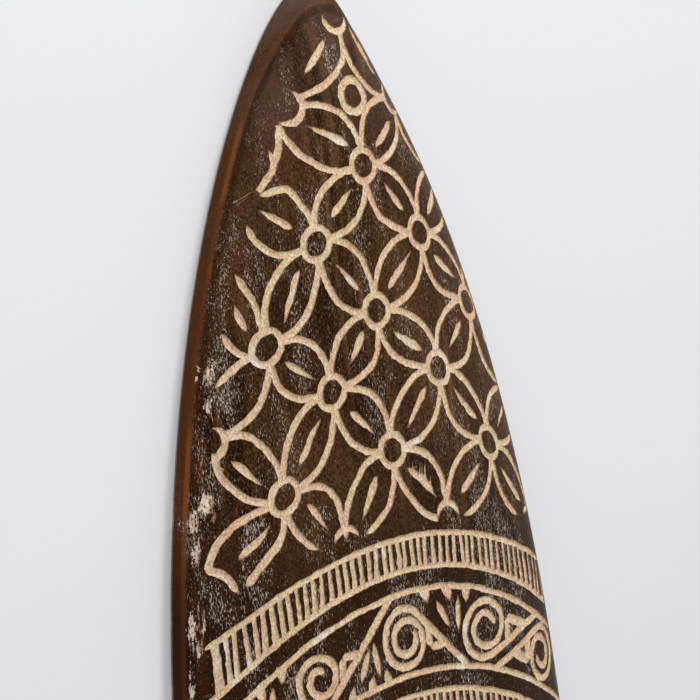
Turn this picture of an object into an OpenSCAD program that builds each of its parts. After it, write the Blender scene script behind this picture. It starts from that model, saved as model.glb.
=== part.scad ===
// Carved wooden boomerang: two straight-grained planks, half-lapped and pegged at the elbow,
// then shaped as one domed blade with a flat back.
// The back lies on the XY plane, +Z points out of the domed face and the elbow points along +Y.

/* [Outline] */
// Length of each wing, from its tip to the start of the elbow's bend
wing_l = 287; // [250:1:340]
// Width of the blade at the elbow, where it is widest
blade_w = 147; // [125:1:165]
// Angle between the two wings
elbow_angle = 110; // [100:1:125]
// Radius of the elbow's bend, measured on the blade's centre line
elbow_r = 140; // [120:1:170]
// How full the wing is behind its tip: a higher value is fuller
tip_fullness = 2.5; // [2:0.1:3]
// How pointed the tip is: a higher value is sharper
tip_sharpness = 0.76; // [0.6:0.02:1]

/* [Section] */
// Height of the plain side wall, below the dome
wall_h = 6; // [5:0.5:8]
// Rise of the dome above the side wall, at the elbow
dome_h = 16.8; // [16:0.2:20]
// How fast the dome sinks towards the tips: 0 keeps it level
dome_taper = 0.31; // [0.2:0.01:0.6]
// Extra height of the side wall at the tip, where the blade ends in a blunt nose
nose_h = 9; // [4:0.5:9]
// Length of that nose, from the tip
nose_l = 33; // [20:1:50]
// Width of the small bevel along the back's edge
arris = 1; // [0.4:0.1:1.5]

/* [Half lap] */
// Height of the glued faces of the half lap above the back
lap_z = 11.4; // [9:0.1:12]
// How far each plank reaches past the inner corner of the elbow
plank_spare = 0.6; // [0.4:0.1:6]
// Diameter of the pegs
peg_d = 10; // [6:0.5:12]
// Length of the pegs, which are driven in from the back
peg_l = 15; // [14:0.5:15]
// Bevel on both ends of a peg
peg_bevel = 0.8; // [0.4:0.1:1.2]

/* [Hidden] */
stain = "#4a2f1f";
peg_wood = "#c9a477";

// Places of the pegs: turn from the elbow's middle, and share of the half width
// from the centre line, positive towards the inner edge.
inner_place = [0, 0.42];
outer_place = [0, -0.56];
right_place = [22, -0.4];
left_place = [-22, -0.4];

peg_gap = 0.05;      // glue film round a peg
peg_sink = 0.4;      // how far a peg's foot stands back from the blade's back
peg_room = 0.2;      // spare depth of a hole above its peg
nose_cut = 0.6;      // length of the tip that is cut off flat
dome_steps = 26;     // facets across the dome
wing_steps = 32;     // facets along a wing
wing_crowding = 1.8; // how much closer the facets stand at the tip
bend_steps = 20;     // facets along the elbow's bend
block = 700;         // cutting blocks, longer than the blade

half_w = blade_w / 2;
half_angle = elbow_angle / 2;
bend = 180 - elbow_angle;
bend_l = elbow_r * bend * PI / 180;
blade_l = 2 * wing_l + bend_l;

// The wings' axes cross at [0, 0], which is cross_l from either tip.
cross_l = wing_l + elbow_r * tan(bend / 2);
bend_centre = [0, -elbow_r / cos(bend / 2)];

// Distance from a wing's axis to the inner edge of the plank that it is sawn from.
plank_in = (half_w - elbow_r - bend_centre[1]) * sin(half_angle) + plank_spare;

// How far a board runs on past the bend before the other plank's edge has cut all of it off.
reach = max(10, 10 + (plank_in + half_w * cos(bend)) / sin(bend) - elbow_r * tan(bend / 2));

// Section of the blade at a distance s from the nearer tip, along the centre line.
function half_width(s) =
    half_w * pow(1 - pow(max(0, 1 - s / wing_l), tip_fullness), tip_sharpness);
function crown(s) = wall_h + dome_h * pow(half_width(s) / half_w, dome_taper);
function wall(s) = min(crown(s), wall_h + nose_h * pow(max(0, 1 - s / nose_l), 2));

// One section, from the outer edge across the dome to the inner edge: [across, height].
function section(s) =
    let (w = half_width(s), h = wall(s), rise = crown(s) - h, a = min(arris, w / 2))
    concat(
        [[-w + a, 0], [-w, a]],
        [for (i = [0 : dome_steps])
            let (t = 180 * i / dome_steps) [-w * cos(t), h + rise * sin(t)]],
        [[w, a], [w - a, 0]]);

// Centre line at a distance p from the right tip, measured round the elbow to the left tip.
function from_tip(p) = min(p, blade_l - p);
function turn(p) = bend / 2 - bend * min(1, max(0, (p - wing_l) / bend_l));
function inward(p) = [-sin(turn(p)), -cos(turn(p))];
function centre(p) =
    p < wing_l ? (cross_l - p) * [sin(half_angle), -cos(half_angle)]
    : p > wing_l + bend_l ? (cross_l - from_tip(p)) * [-sin(half_angle), -cos(half_angle)]
    : bend_centre - elbow_r * inward(p);

stations = concat(
    [for (i = [0 : wing_steps])
        nose_cut + (wing_l - nose_cut) * pow(i / wing_steps, wing_crowding)],
    [for (i = [1 : bend_steps]) wing_l + bend_l * i / bend_steps],
    [wing_l + bend_l + reach]);

// The finished blade is centred on the Y axis's zero.
function edge_y(p, side) = (centre(p) + side * half_width(from_tip(p)) * inward(p))[1];
mid_y = (min([for (p = stations) edge_y(p, 1)]) + edge_y(blade_l / 2, -1)) / 2;

// The right-hand wing and the elbow, as one domed blank.
module blank() {
    rings = [for (p = stations)
        [for (q = section(from_tip(p)))
            let (at = centre(p) + q[0] * inward(p)) [at[0], at[1] - mid_y, q[1]]]];
    count = len(rings[0]);
    last = len(rings) - 1;
    polyhedron(
        points = [for (ring = rings) each ring],
        faces = concat(
            [[for (j = [count - 1 : -1 : 0]) j]],
            [for (i = [0 : last - 1], j = [0 : count - 1])
                let (k = (j + 1) % count)
                [i * count + j, i * count + k, (i + 1) * count + k, (i + 1) * count + j]],
            [[for (j = [0 : count - 1]) last * count + j]]),
        convexity = 6);
}

// What lies within the inner edge of a wing's plank, or beyond it, from z0 to z1.
// Side 1 is the right-hand wing's plank and side -1 is the left-hand wing's.
module within_plank(side, z0, z1) {
    translate([0, -mid_y, z0]) rotate([0, 0, side * (half_angle - 90)])
        translate([-block, -plank_in, 0]) cube([2 * block, block, z1 - z0]);
}
module beyond_plank(side, z0, z1) {
    translate([0, -mid_y, z0]) rotate([0, 0, side * (half_angle - 90)])
        translate([-block, -plank_in - block, 0]) cube([2 * block, block, z1 - z0]);
}

module peg_place(place) {
    out = elbow_r - place[1] * half_w;
    translate([out * sin(place[0]), bend_centre[1] + out * cos(place[0]) - mid_y, 0]) children();
}

module peg_holes() {
    for (place = [inner_place, outer_place, right_place, left_place])
        peg_place(place) translate([0, 0, -1])
            cylinder(d = peg_d + 2 * peg_gap, h = 1 + peg_sink + peg_l + peg_room, $fn = 48);
}

// Board of the right-hand wing. It keeps the lower half of the lap.
module wing_right() {
    color(stain) difference() {
        blank();
        beyond_plank(1, -1, 50);
        within_plank(-1, lap_z, 50);
        peg_holes();
    }
}

// Board of the left-hand wing. It keeps the upper half of the lap.
module wing_left() {
    color(stain) difference() {
        mirror([1, 0, 0]) blank();
        beyond_plank(-1, -1, 50);
        within_plank(1, -1, lap_z);
        peg_holes();
    }
}

// A bevelled peg, which stands in its blind hole.
module peg(place) {
    r = peg_d / 2;
    color(peg_wood) peg_place(place) translate([0, 0, peg_sink]) {
        cylinder(r1 = r - peg_bevel, r2 = r, h = peg_bevel, $fn = 48);
        translate([0, 0, peg_bevel]) cylinder(r = r, h = peg_l - 2 * peg_bevel, $fn = 48);
        translate([0, 0, peg_l - peg_bevel]) cylinder(r1 = r, r2 = r - peg_bevel, h = peg_bevel, $fn = 48);
    }
}

module peg_inner() { peg(inner_place); }
module peg_outer() { peg(outer_place); }
module peg_right() { peg(right_place); }
module peg_left() { peg(left_place); }

wing_right();
wing_left();
peg_inner();
peg_outer();
peg_right();
peg_left();
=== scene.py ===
"""A broad boomerang of two stained planks, lapped and pegged at the elbow and carved all over its face."""

import logging
import math
import random
from dataclasses import dataclass, replace
from enum import Enum
from typing import Callable

import bmesh
import bpy
from mathutils import Matrix, Vector, noise


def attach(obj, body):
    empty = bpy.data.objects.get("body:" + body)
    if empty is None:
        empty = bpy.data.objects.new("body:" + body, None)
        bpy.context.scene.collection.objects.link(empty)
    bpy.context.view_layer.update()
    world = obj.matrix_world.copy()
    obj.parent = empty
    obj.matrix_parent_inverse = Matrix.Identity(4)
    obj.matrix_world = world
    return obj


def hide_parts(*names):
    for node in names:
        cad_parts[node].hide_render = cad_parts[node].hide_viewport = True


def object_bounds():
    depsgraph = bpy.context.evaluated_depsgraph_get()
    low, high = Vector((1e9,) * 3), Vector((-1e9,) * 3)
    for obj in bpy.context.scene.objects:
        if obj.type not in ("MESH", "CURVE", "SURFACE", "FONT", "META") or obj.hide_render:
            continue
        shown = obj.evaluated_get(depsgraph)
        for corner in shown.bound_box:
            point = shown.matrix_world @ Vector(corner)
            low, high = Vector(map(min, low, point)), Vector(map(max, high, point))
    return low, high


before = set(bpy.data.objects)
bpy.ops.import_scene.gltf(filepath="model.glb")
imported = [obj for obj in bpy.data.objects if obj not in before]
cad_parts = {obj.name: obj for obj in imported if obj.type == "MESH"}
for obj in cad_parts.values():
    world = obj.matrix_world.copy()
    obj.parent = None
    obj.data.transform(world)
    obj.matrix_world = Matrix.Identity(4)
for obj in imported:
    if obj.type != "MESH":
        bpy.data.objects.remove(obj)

CAD_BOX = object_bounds()
MM = 0.001               # the form and its carving are worked out in millimetres
ROOT = "root"
LOG = logging.getLogger("boomerang")

Point = tuple[float, float]
Path = list[Point]
Region = Callable[[float, float], float]     # of a plan position: positive inside the region
Stray = tuple[float, float, float, float]
Patch = tuple[float, float, float, float, int]
Colour = tuple[float, float, float, float]
Socket = bpy.types.NodeSocket
Hand = random.Random


def srgb(red: int, green: int, blue: int) -> Colour:
    """Turns a colour as it is seen into the linear one that a shader takes.

    Args:
        red: Red, from 0 to 255.
        green: Green, from 0 to 255.
        blue: Blue, from 0 to 255.

    Returns:
        The linear colour, with an alpha of 1.
    """
    def linear(value: int) -> float:
        """One channel, by the standard curve."""
        share = value / 255
        return share / 12.92 if share <= 0.04045 else ((share + 0.055) / 1.055) ** 2.4

    return linear(red), linear(green), linear(blue), 1.0


# ------------------------------ the blade's form


class Side(Enum):
    """Which wing: its value is the sign of X on that side."""

    RIGHT = 1
    LEFT = -1


@dataclass(frozen=True)
class BladeForm:
    """The domed, flat-backed form of the blade, in millimetres.

    A place is given by its plan position (x, y), or by how far it lies across the blade from the centre
    line, positive towards the inner edge, and along that line from the nearer tip.
    """

    wing_length: float = 287.0
    width: float = 147.0
    elbow_angle: float = 110.0
    elbow_radius: float = 140.0
    fullness: float = 2.5
    sharpness: float = 0.76
    wall: float = 6.0
    rise: float = 16.8
    sink: float = 0.31
    nose_height: float = 9.0
    nose_length: float = 33.0
    arris: float = 1.0

    @property
    def half(self) -> float:
        """Half the blade's full width."""
        return self.width / 2

    @property
    def bend(self) -> float:
        """How far the centre line turns at the elbow, in radians."""
        return math.pi - math.radians(self.elbow_angle)

    @property
    def length(self) -> float:
        """Length of the whole centre line, from tip to tip."""
        return 2 * self.wing_length + self.elbow_radius * self.bend

    @property
    def reach(self) -> float:
        """Distance from a tip to the place where the wings' axes cross."""
        return self.wing_length + self.elbow_radius * math.tan(self.bend / 2)

    @property
    def heading(self) -> Vector:
        """Plan direction from the crossing of the axes to the right-hand tip."""
        half_angle = math.radians(self.elbow_angle) / 2
        return Vector((math.sin(half_angle), -math.cos(half_angle)))

    @property
    def crossing(self) -> Vector:
        """Where the wings' axes cross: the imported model's outer edge fixes it."""
        apex = self.elbow_radius / math.cos(self.bend / 2) - self.elbow_radius
        return Vector((0.0, CAD_BOX[1].y / MM - self.half + apex))

    @property
    def bend_centre(self) -> Vector:
        """Centre of the elbow's bend."""
        return self.crossing - Vector((0.0, self.elbow_radius / math.cos(self.bend / 2)))

    def half_width(self, along: float) -> float:
        """Half the blade's width at a distance from the tip."""
        behind = max(0.0, 1 - along / self.wing_length)
        return self.half * (1 - behind ** self.fullness) ** self.sharpness

    def crown(self, along: float) -> float:
        """Height of the dome's crown at a distance from the tip."""
        return self.wall + self.rise * (self.half_width(along) / self.half) ** self.sink

    def wall_at(self, along: float) -> float:
        """Height of the plain side wall at a distance from the tip."""
        nose = max(0.0, 1 - along / self.nose_length)
        return min(self.crown(along), self.wall + self.nose_height * nose ** 2)

    def plan(self, across: float, along: float) -> Point:
        """Plan position of a place on the right-hand wing, or on the bend up to its middle.

        Args:
            across: Distance from the centre line, positive towards the inner edge.
            along: Distance from the tip, measured on the centre line.

        Returns:
            The place's x and y.
        """
        if along < self.wing_length:
            return self.wing_plan(across, along)
        turn = self.bend / 2 - (along - self.wing_length) / self.elbow_radius
        spoke = self.elbow_radius - across
        return self.bend_centre.x + spoke * math.sin(turn), self.bend_centre.y + spoke * math.cos(turn)

    def wing_plan(self, across: float, along: float) -> Point:
        """Plan position in the right-hand wing's own straight axes, which run on past the bend.

        Args:
            across: Distance from the wing's axis, positive towards the inner edge.
            along: Distance from the tip, measured on the axis.

        Returns:
            The place's x and y.
        """
        inward = Vector((self.heading.y, -self.heading.x))
        place = self.crossing + (self.reach - along) * self.heading + across * inward
        return place.x, place.y

    def chart(self, x: float, y: float) -> tuple[float, float]:
        """The reverse of plan, for either wing.

        Args:
            x, y: The plan position.

        Returns:
            How far the place lies across the blade and along it from the nearer tip.
        """
        out = Vector((abs(x), y)) - self.crossing
        along = self.reach - out.dot(self.heading)
        if along < self.wing_length:
            return out.x * self.heading.y - out.y * self.heading.x, along
        spoke = Vector((abs(x), y)) - self.bend_centre
        turned = self.bend / 2 - math.atan2(spoke.x, spoke.y)
        return self.elbow_radius - spoke.length, self.wing_length + self.elbow_radius * turned

    def height(self, x: float, y: float) -> float:
        """Height of the domed face over a plan position.

        Args:
            x, y: The plan position.

        Returns:
            The height above the back.
        """
        across, along = self.chart(x, y)
        share = min(1.0, abs(across) / self.half_width(max(along, 0.01)))
        wall = self.wall_at(along)
        return wall + (self.crown(along) - wall) * math.sqrt(1 - share * share)

    def surface(self, x: float, y: float) -> tuple[Vector, Vector]:
        """The domed face over a plan position.

        Args:
            x, y: The plan position.

        Returns:
            The point of the face, and its normal there.
        """
        step = 0.2
        slope_x = (self.height(x + step, y) - self.height(x - step, y)) / (2 * step)
        slope_y = (self.height(x, y + step) - self.height(x, y - step)) / (2 * step)
        return Vector((x, y, self.height(x, y))), Vector((-slope_x, -slope_y, 1)).normalized()

    def section(self, along: float, facets: int) -> list[tuple[float, float]]:
        """One section of the blade, from the outer edge across the dome to the inner edge.

        Args:
            along: Distance from the tip.
            facets: Number of facets across the dome.

        Returns:
            Pairs of distance across and height.
        """
        half, wall, crown = self.half_width(along), self.wall_at(along), self.crown(along)
        arris = min(self.arris, half / 2)
        dome = []
        for i in range(facets + 1):
            turn = math.pi * i / facets
            dome.append((-half * math.cos(turn), wall + (crown - wall) * math.sin(turn)))
        return [(-half + arris, 0), (-half, arris), *dome, (half, arris), (half - arris, 0)]


# ------------------------------ paths


def between(start: Point, end: Point, share: float) -> Point:
    """The point that lies a share of the way from one point to another."""
    return start[0] + share * (end[0] - start[0]), start[1] + share * (end[1] - start[1])


def arc(centre: Point, radius: float, start: float, end: float, steps: int) -> Path:
    """Points along a circular arc.

    Args:
        centre: The arc's centre.
        radius: Its radius.
        start: Direction of its first point from the centre, in degrees.
        end: Direction of its last point, in degrees.
        steps: Number of steps between them.

    Returns:
        The points, in order.
    """
    path = []
    for i in range(steps + 1):
        turn = math.radians(start + (end - start) * i / steps)
        path.append((centre[0] + radius * math.cos(turn), centre[1] + radius * math.sin(turn)))
    return path


def line(start: Point, end: Point, steps: int = 8) -> Path:
    """Points along a straight line."""
    return [(start[0] + (end[0] - start[0]) * i / steps, start[1] + (end[1] - start[1]) * i / steps)
            for i in range(steps + 1)]


def curve(points: Path, steps: int = 5) -> Path:
    """A smooth path through a few points.

    Args:
        points: The points to pass through.
        steps: How many steps each stretch is divided into.

    Returns:
        The path's points.
    """
    def blended(p: float, q: float, r: float, s: float, t: float) -> float:
        """One coordinate of a Catmull-Rom spline, a share t of the way from q to r."""
        return 0.5 * (2 * q + (r - p) * t + (2 * p - 5 * q + 4 * r - s) * t * t
                      + (3 * q - p - 3 * r + s) * t ** 3)

    ends = [points[0], *points, points[-1]]
    path = []
    for run in zip(ends, ends[1:], ends[2:], ends[3:]):
        for i in range(steps):
            path.append(tuple(blended(*coordinates, i / steps) for coordinates in zip(*run)))
    return path + [points[-1]]


# ------------------------------ meshes swept through wood


def stored(bm: bmesh.types.BMesh, name: str) -> bpy.types.Mesh:
    """Stores a working mesh and frees it.

    Args:
        bm: The working mesh.
        name: Name of the stored one.

    Returns:
        The stored mesh.
    """
    mesh = bpy.data.meshes.new(name)
    bm.to_mesh(mesh)
    bm.free()
    return mesh


def placed(name: str, data: bpy.types.ID) -> bpy.types.Object:
    """Puts a mesh, lamp or camera into the scene.

    Args:
        name: Name of its object.
        data: What the object shows.

    Returns:
        The object.
    """
    thing = bpy.data.objects.new(name, data)
    bpy.context.scene.collection.objects.link(thing)
    return thing


def wrap_grid(rings: list[list[Vector]], closed: bool = False) -> bmesh.types.BMesh:
    """Wraps a grid into a tube through rings of points, and closes its ends.

    Args:
        rings: The rings in order, each with the same number of points.
        closed: Whether the last ring is followed by the first again.

    Returns:
        The closed mesh, with its faces pointing outwards.
    """
    rows, columns = len(rings), len(rings[0])
    bm = bmesh.new()
    spans = rows if closed else rows - 1
    grid = bmesh.ops.create_grid(bm, x_segments=columns, y_segments=spans, size=1)["verts"]
    joined = {}
    for index, vert in enumerate(grid):
        row, column = divmod(index, columns + 1)
        vert.co = rings[row % rows][column % columns]
        if row == rows or column == columns:
            joined[vert] = grid[row % rows * (columns + 1) + column % columns]
    bmesh.ops.weld_verts(bm, targetmap=joined)
    rims = [edge for edge in bm.edges if edge.is_boundary]
    if rims:
        bmesh.ops.holes_fill(bm, edges=rims, sides=0)
    bmesh.ops.recalc_face_normals(bm, faces=bm.faces)
    return bm


class Tool(Enum):
    """A carver's tool, by the groove that it leaves: pairs of share across and share of the depth."""

    GOUGE = ((-1.0, 0.0), (-0.78, 0.72), (-0.36, 1.0), (0.36, 1.0), (0.78, 0.72), (1.0, 0.0))
    PARTING = ((-1.0, 0.0), (-0.8, 0.72), (-0.3, 1.0), (0.3, 1.0), (0.8, 0.72), (1.0, 0.0))


class Waver(Enum):
    """What is uneven in a stroke: how fast it changes in a millimetre, and its own layer of the noise."""

    SWAY_X = (0.23, 0)
    SWAY_Y = (0.23, 9)
    SIZE = (0.55, 4)
    DEPTH = (0.9, 2)
    LEFT_EDGE = (1.3, 5)
    RIGHT_EDGE = (1.3, 7)

    def at(self, place: float, seed: float) -> float:
        """The unevenness at a distance from the stroke's start, between -1 and 1."""
        pace, layer = self.value
        return noise.noise(Vector((place * pace, seed, layer)))


@dataclass(frozen=True)
class Cut:
    """One groove, which narrows and rises out of the wood towards its ends."""

    path: Path
    width: float = 2.4
    depth: float = 0.75
    tool: Tool = Tool.GOUGE
    fade_in: float = 0.0
    fade_out: float = 0.0
    closed: bool = False
    spread: float = 0.0      # share by which it widens from its start to its end

    @property
    def length(self) -> float:
        """Length of its path."""
        return sum(math.dist(a, b) for a, b in zip(self.path, self.path[1:]))


def trimmed(cut: Cut, inside: Region, edge_fade: float) -> list[Cut]:
    """Keeps the stretches of a groove that lie inside a region.

    Args:
        cut: The groove, with its path finely divided.
        inside: The region.
        edge_fade: Length of the rise out of the wood where the region's edge cuts the groove off.

    Returns:
        One cut for each stretch.
    """
    values = [inside(x, y) for x, y in cut.path]
    cuts: list[Cut] = []
    current: Path = []
    fade_in = cut.fade_in
    for i, (point, value) in enumerate(zip(cut.path, values)):
        if i and (value > 0) != (values[i - 1] > 0):
            edge = between(cut.path[i - 1], point, values[i - 1] / (values[i - 1] - value))
            if value > 0:
                current, fade_in = [edge], edge_fade
            else:
                cuts.append(replace(cut, path=current + [edge], fade_in=fade_in, fade_out=edge_fade))
                current = []
        if value > 0:
            current.append(point)
    if current:
        cuts.append(replace(cut, path=current, fade_in=fade_in))
    return [cut for cut in cuts if len(cut.path) > 1]


@dataclass(frozen=True)
class Carver:
    """The hand that cuts the grooves: how steady it is, and how finely its strokes are modelled."""

    form: BladeForm
    step: float = 1.1        # from one ring of a groove's solid to the next
    lift: float = 0.9        # how far the solid stands out of the face
    flare: float = 0.12      # how much wider it is up there, on each side
    wander: float = 0.26     # how far a stroke strays from its path
    wobble: float = 0.18     # share by which its size changes
    dig: float = 0.2         # share by which its depth changes besides
    rag: float = 0.3         # how far its edges stray
    bluntness: float = 0.8   # power that shapes its ends: a lower one is blunter
    end_size: float = 0.15   # by how much of the rise an end is ahead, so that it isn't a point
    square: float = 1.0      # squares of the plan that two strokes of one pass don't share
    room: float = 0.3        # kept free round a stroke besides its own unevenness

    def stations(self, cut: Cut) -> list[tuple[Point, float]]:
        """Places along a cut, evenly spaced.

        Args:
            cut: The groove to follow.

        Returns:
            Pairs of a plan position and its distance from the cut's start.
        """
        path = cut.path + cut.path[:1] if cut.closed else cut.path
        runs = [math.dist(a, b) for a, b in zip(path, path[1:])]
        total = sum(runs)
        count = max(3, round(total / self.step))
        places, leg, passed = [], 0, 0.0
        for i in range(count if cut.closed else count + 1):
            at = total * i / count
            while leg < len(runs) - 1 and passed + runs[leg] < at:
                passed += runs[leg]
                leg += 1
            share = min(1.0, (at - passed) / max(runs[leg], 1e-9))
            places.append((between(path[leg], path[leg + 1], share), at))
        return places

    def risen(self, gone: float, fade: float) -> float:
        """Share of its full size that a groove has near one of its ends.

        Args:
            gone: Distance from the end.
            fade: Length of the rise out of the wood there, or 0 if the groove stops at its full size.

        Returns:
            The share.
        """
        if not fade:
            return 1.0
        return math.sin(math.pi / 2 * min(1.0, (gone + self.end_size) / fade)) ** self.bluntness

    def plough(self, cut: Cut, seed: float) -> bmesh.types.BMesh:
        """The solid that a cut takes out of the wood, with its top above the face.

        Args:
            cut: The groove to make.
            seed: Number that sets this stroke's own unsteadiness.

        Returns:
            The closed solid.
        """
        places = self.stations(cut)
        total = places[-1][1]
        points = []
        for (x, y), at in places:
            points.append(self.form.surface(x + self.wander * Waver.SWAY_X.at(at, seed),
                                            y + self.wander * Waver.SWAY_Y.at(at, seed)))
        rings = []
        for i, ((point, normal), (_, at)) in enumerate(zip(points, places)):
            before = points[i - 1][0] if i or cut.closed else point
            after = points[(i + 1) % len(points)][0] if i + 1 < len(points) or cut.closed else point
            side = (after - before).cross(normal).normalized()
            bite = 1 + self.wobble * Waver.SIZE.at(at, seed)
            bite *= 1 + cut.spread * (at / total - 0.5)
            bite *= self.risen(at, cut.fade_in)
            bite *= self.risen(total - at, cut.fade_out)
            half = cut.width / 2 * bite
            sink = cut.depth * bite * (1 + self.dig * Waver.DEPTH.at(at, seed))
            left = half + self.rag * Waver.LEFT_EDGE.at(at, seed)
            right = half + self.rag * Waver.RIGHT_EDGE.at(at, seed)
            ring = []
            for across, down in cut.tool.value:
                reach = across * (right if across > 0 else left)
                ring.append(point + side * reach - normal * (down * sink))
            ring.append(point + side * (right + self.flare) + normal * self.lift)
            ring.append(point - side * (left + self.flare) + normal * self.lift)
            rings.append(ring)
        return wrap_grid(rings, cut.closed)

    def squares(self, cut: Cut) -> set[tuple[int, int]]:
        """The small squares of the plan that a cut's solid passes over.

        Args:
            cut: The groove.

        Returns:
            The squares, each as its numbers along X and Y.
        """
        size = self.square
        room = cut.width / 2 * (1 + self.wobble) + self.flare + self.wander + self.room
        spread = range(-math.ceil(room / size), math.ceil(room / size) + 1)
        found = set()
        for (x, y), _ in self.stations(cut):
            for i in spread:
                for j in spread:
                    if math.hypot(i, j) * size <= room + size:
                        found.add((round(x / size) + i, round(y / size) + j))
        return found

    def passes(self, cuts: list[Cut], seed: int, finish: int = 1) -> list[bpy.types.Mesh]:
        """Sorts the cuts into passes in which no two of them touch, and makes each pass one mesh.

        Args:
            cuts: All the grooves of one board.
            seed: Number that sets the board's own unsteadiness.
            finish: Number of the material that the grooves get.

        Returns:
            One mesh of separate solids for each pass.
        """
        apart = 0.37             # from one stroke's place in the noise to the next one's
        sorted_cuts: list[tuple[set[tuple[int, int]], bmesh.types.BMesh]] = []
        for number, cut in enumerate(cuts):
            squares = self.squares(cut)
            for taken, bm in sorted_cuts:
                if taken.isdisjoint(squares):
                    break
            else:
                taken, bm = set(), bmesh.new()
                sorted_cuts.append((taken, bm))
            taken |= squares
            groove = stored(self.plough(cut, seed + apart * number), "groove")
            bm.from_mesh(groove)
            bpy.data.meshes.remove(groove)
        meshes = []
        for number, (_, bm) in enumerate(sorted_cuts):
            for face in bm.faces:
                face.material_index = finish
            meshes.append(stored(bm, f"pass_{number}"))
        return meshes


# ------------------------------ the carved patterns


@dataclass(frozen=True)
class Rule:
    """A curved line across the blade.

    Its distance from the tip is at, plus lean times the distance across, plus bow times its square.
    """

    at: float
    bow: float
    lean: float = 0.0

    def along(self, across: float) -> float:
        """Distance from the tip, at a distance across the blade."""
        return self.at + self.lean * across + self.bow * across * across


@dataclass(frozen=True)
class Stroke:
    """A stroke that the hand has put in freely, through a few points in the wing's axes."""

    points: tuple[Point, ...]
    width: float = 2.2
    fades: Point = (0.0, 0.0)
    depth: float = 0.75


@dataclass(frozen=True)
class Layout:
    """Where a pattern lies: the right-hand wing's straight axes, and the borders left plain at the edges.

    Patterns are drawn for the right-hand wing, as pairs of distance across and distance from the tip.
    """

    form: BladeForm
    outer_border: float = 3.0
    inner_border: float = 2.4
    nose_border: float = 5.5     # how much wider the outer border is behind the nose
    nose_start: float = 20.0
    nose_reach: float = 90.0
    bare_nose: float = 1.0
    edge_fade: float = 3.0       # length of a groove's rise where a border cuts it off

    def margin(self, x: float, y: float) -> float:
        """How far a plan position lies inside the plain border along the edges.

        Args:
            x, y: The plan position.

        Returns:
            The distance, negative in the border itself.
        """
        across, along = self.form.chart(x, y)
        if along <= self.bare_nose:
            return -1.0
        border = self.inner_border
        if across < 0:
            nose = self.nose_border * max(0.0, 1 - along / self.nose_reach)
            border = self.outer_border + nose * min(1, along / self.nose_start)
        return self.form.half_width(along) - abs(across) - border

    def clear(self, path: Path, margin: float = 0.0) -> bool:
        """Whether a whole path lies inside the plain border, by more than a margin."""
        return min(self.margin(x, y) for x, y in path) > margin

    def to_plan(self, path: Path) -> Path:
        """The plan positions of a path given in the wing's axes."""
        return [self.form.wing_plan(across, along) for across, along in path]

    def lined(self, start: Point, end: Point, steps: int = 8) -> Path:
        """The plan positions along a straight line given in the wing's axes."""
        return self.to_plan(line(start, end, steps))

    def trim(self, cut: Cut) -> list[Cut]:
        """What is left of a groove inside the plain border."""
        return trimmed(cut, self.margin, self.edge_fade)

    def rules(self, rules: tuple[Rule, ...], width: float) -> list[Cut]:
        """Lines from edge to edge of the face.

        Args:
            rules: The lines.
            width: Width of their grooves.

        Returns:
            The cuts, line by line.
        """
        half, steps = self.form.half, 80
        places = [half * (i / (steps / 2) - 1) for i in range(steps + 1)]
        cuts = []
        for rule in rules:
            path = self.to_plan([(across, rule.along(across)) for across in places])
            cuts += self.trim(Cut(path, width, fade_in=self.edge_fade, fade_out=self.edge_fade))
        return cuts

    def strokes(self, strokes: tuple[Stroke, ...]) -> list[Cut]:
        """Free strokes, less what falls on the plain border.

        Args:
            strokes: The strokes.

        Returns:
            The cuts, stroke by stroke.
        """
        cuts = []
        for stroke in strokes:
            path = self.to_plan(curve(list(stroke.points)))
            cuts += self.trim(Cut(path, stroke.width, stroke.depth, Tool.GOUGE, *stroke.fades))
        return cuts


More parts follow.
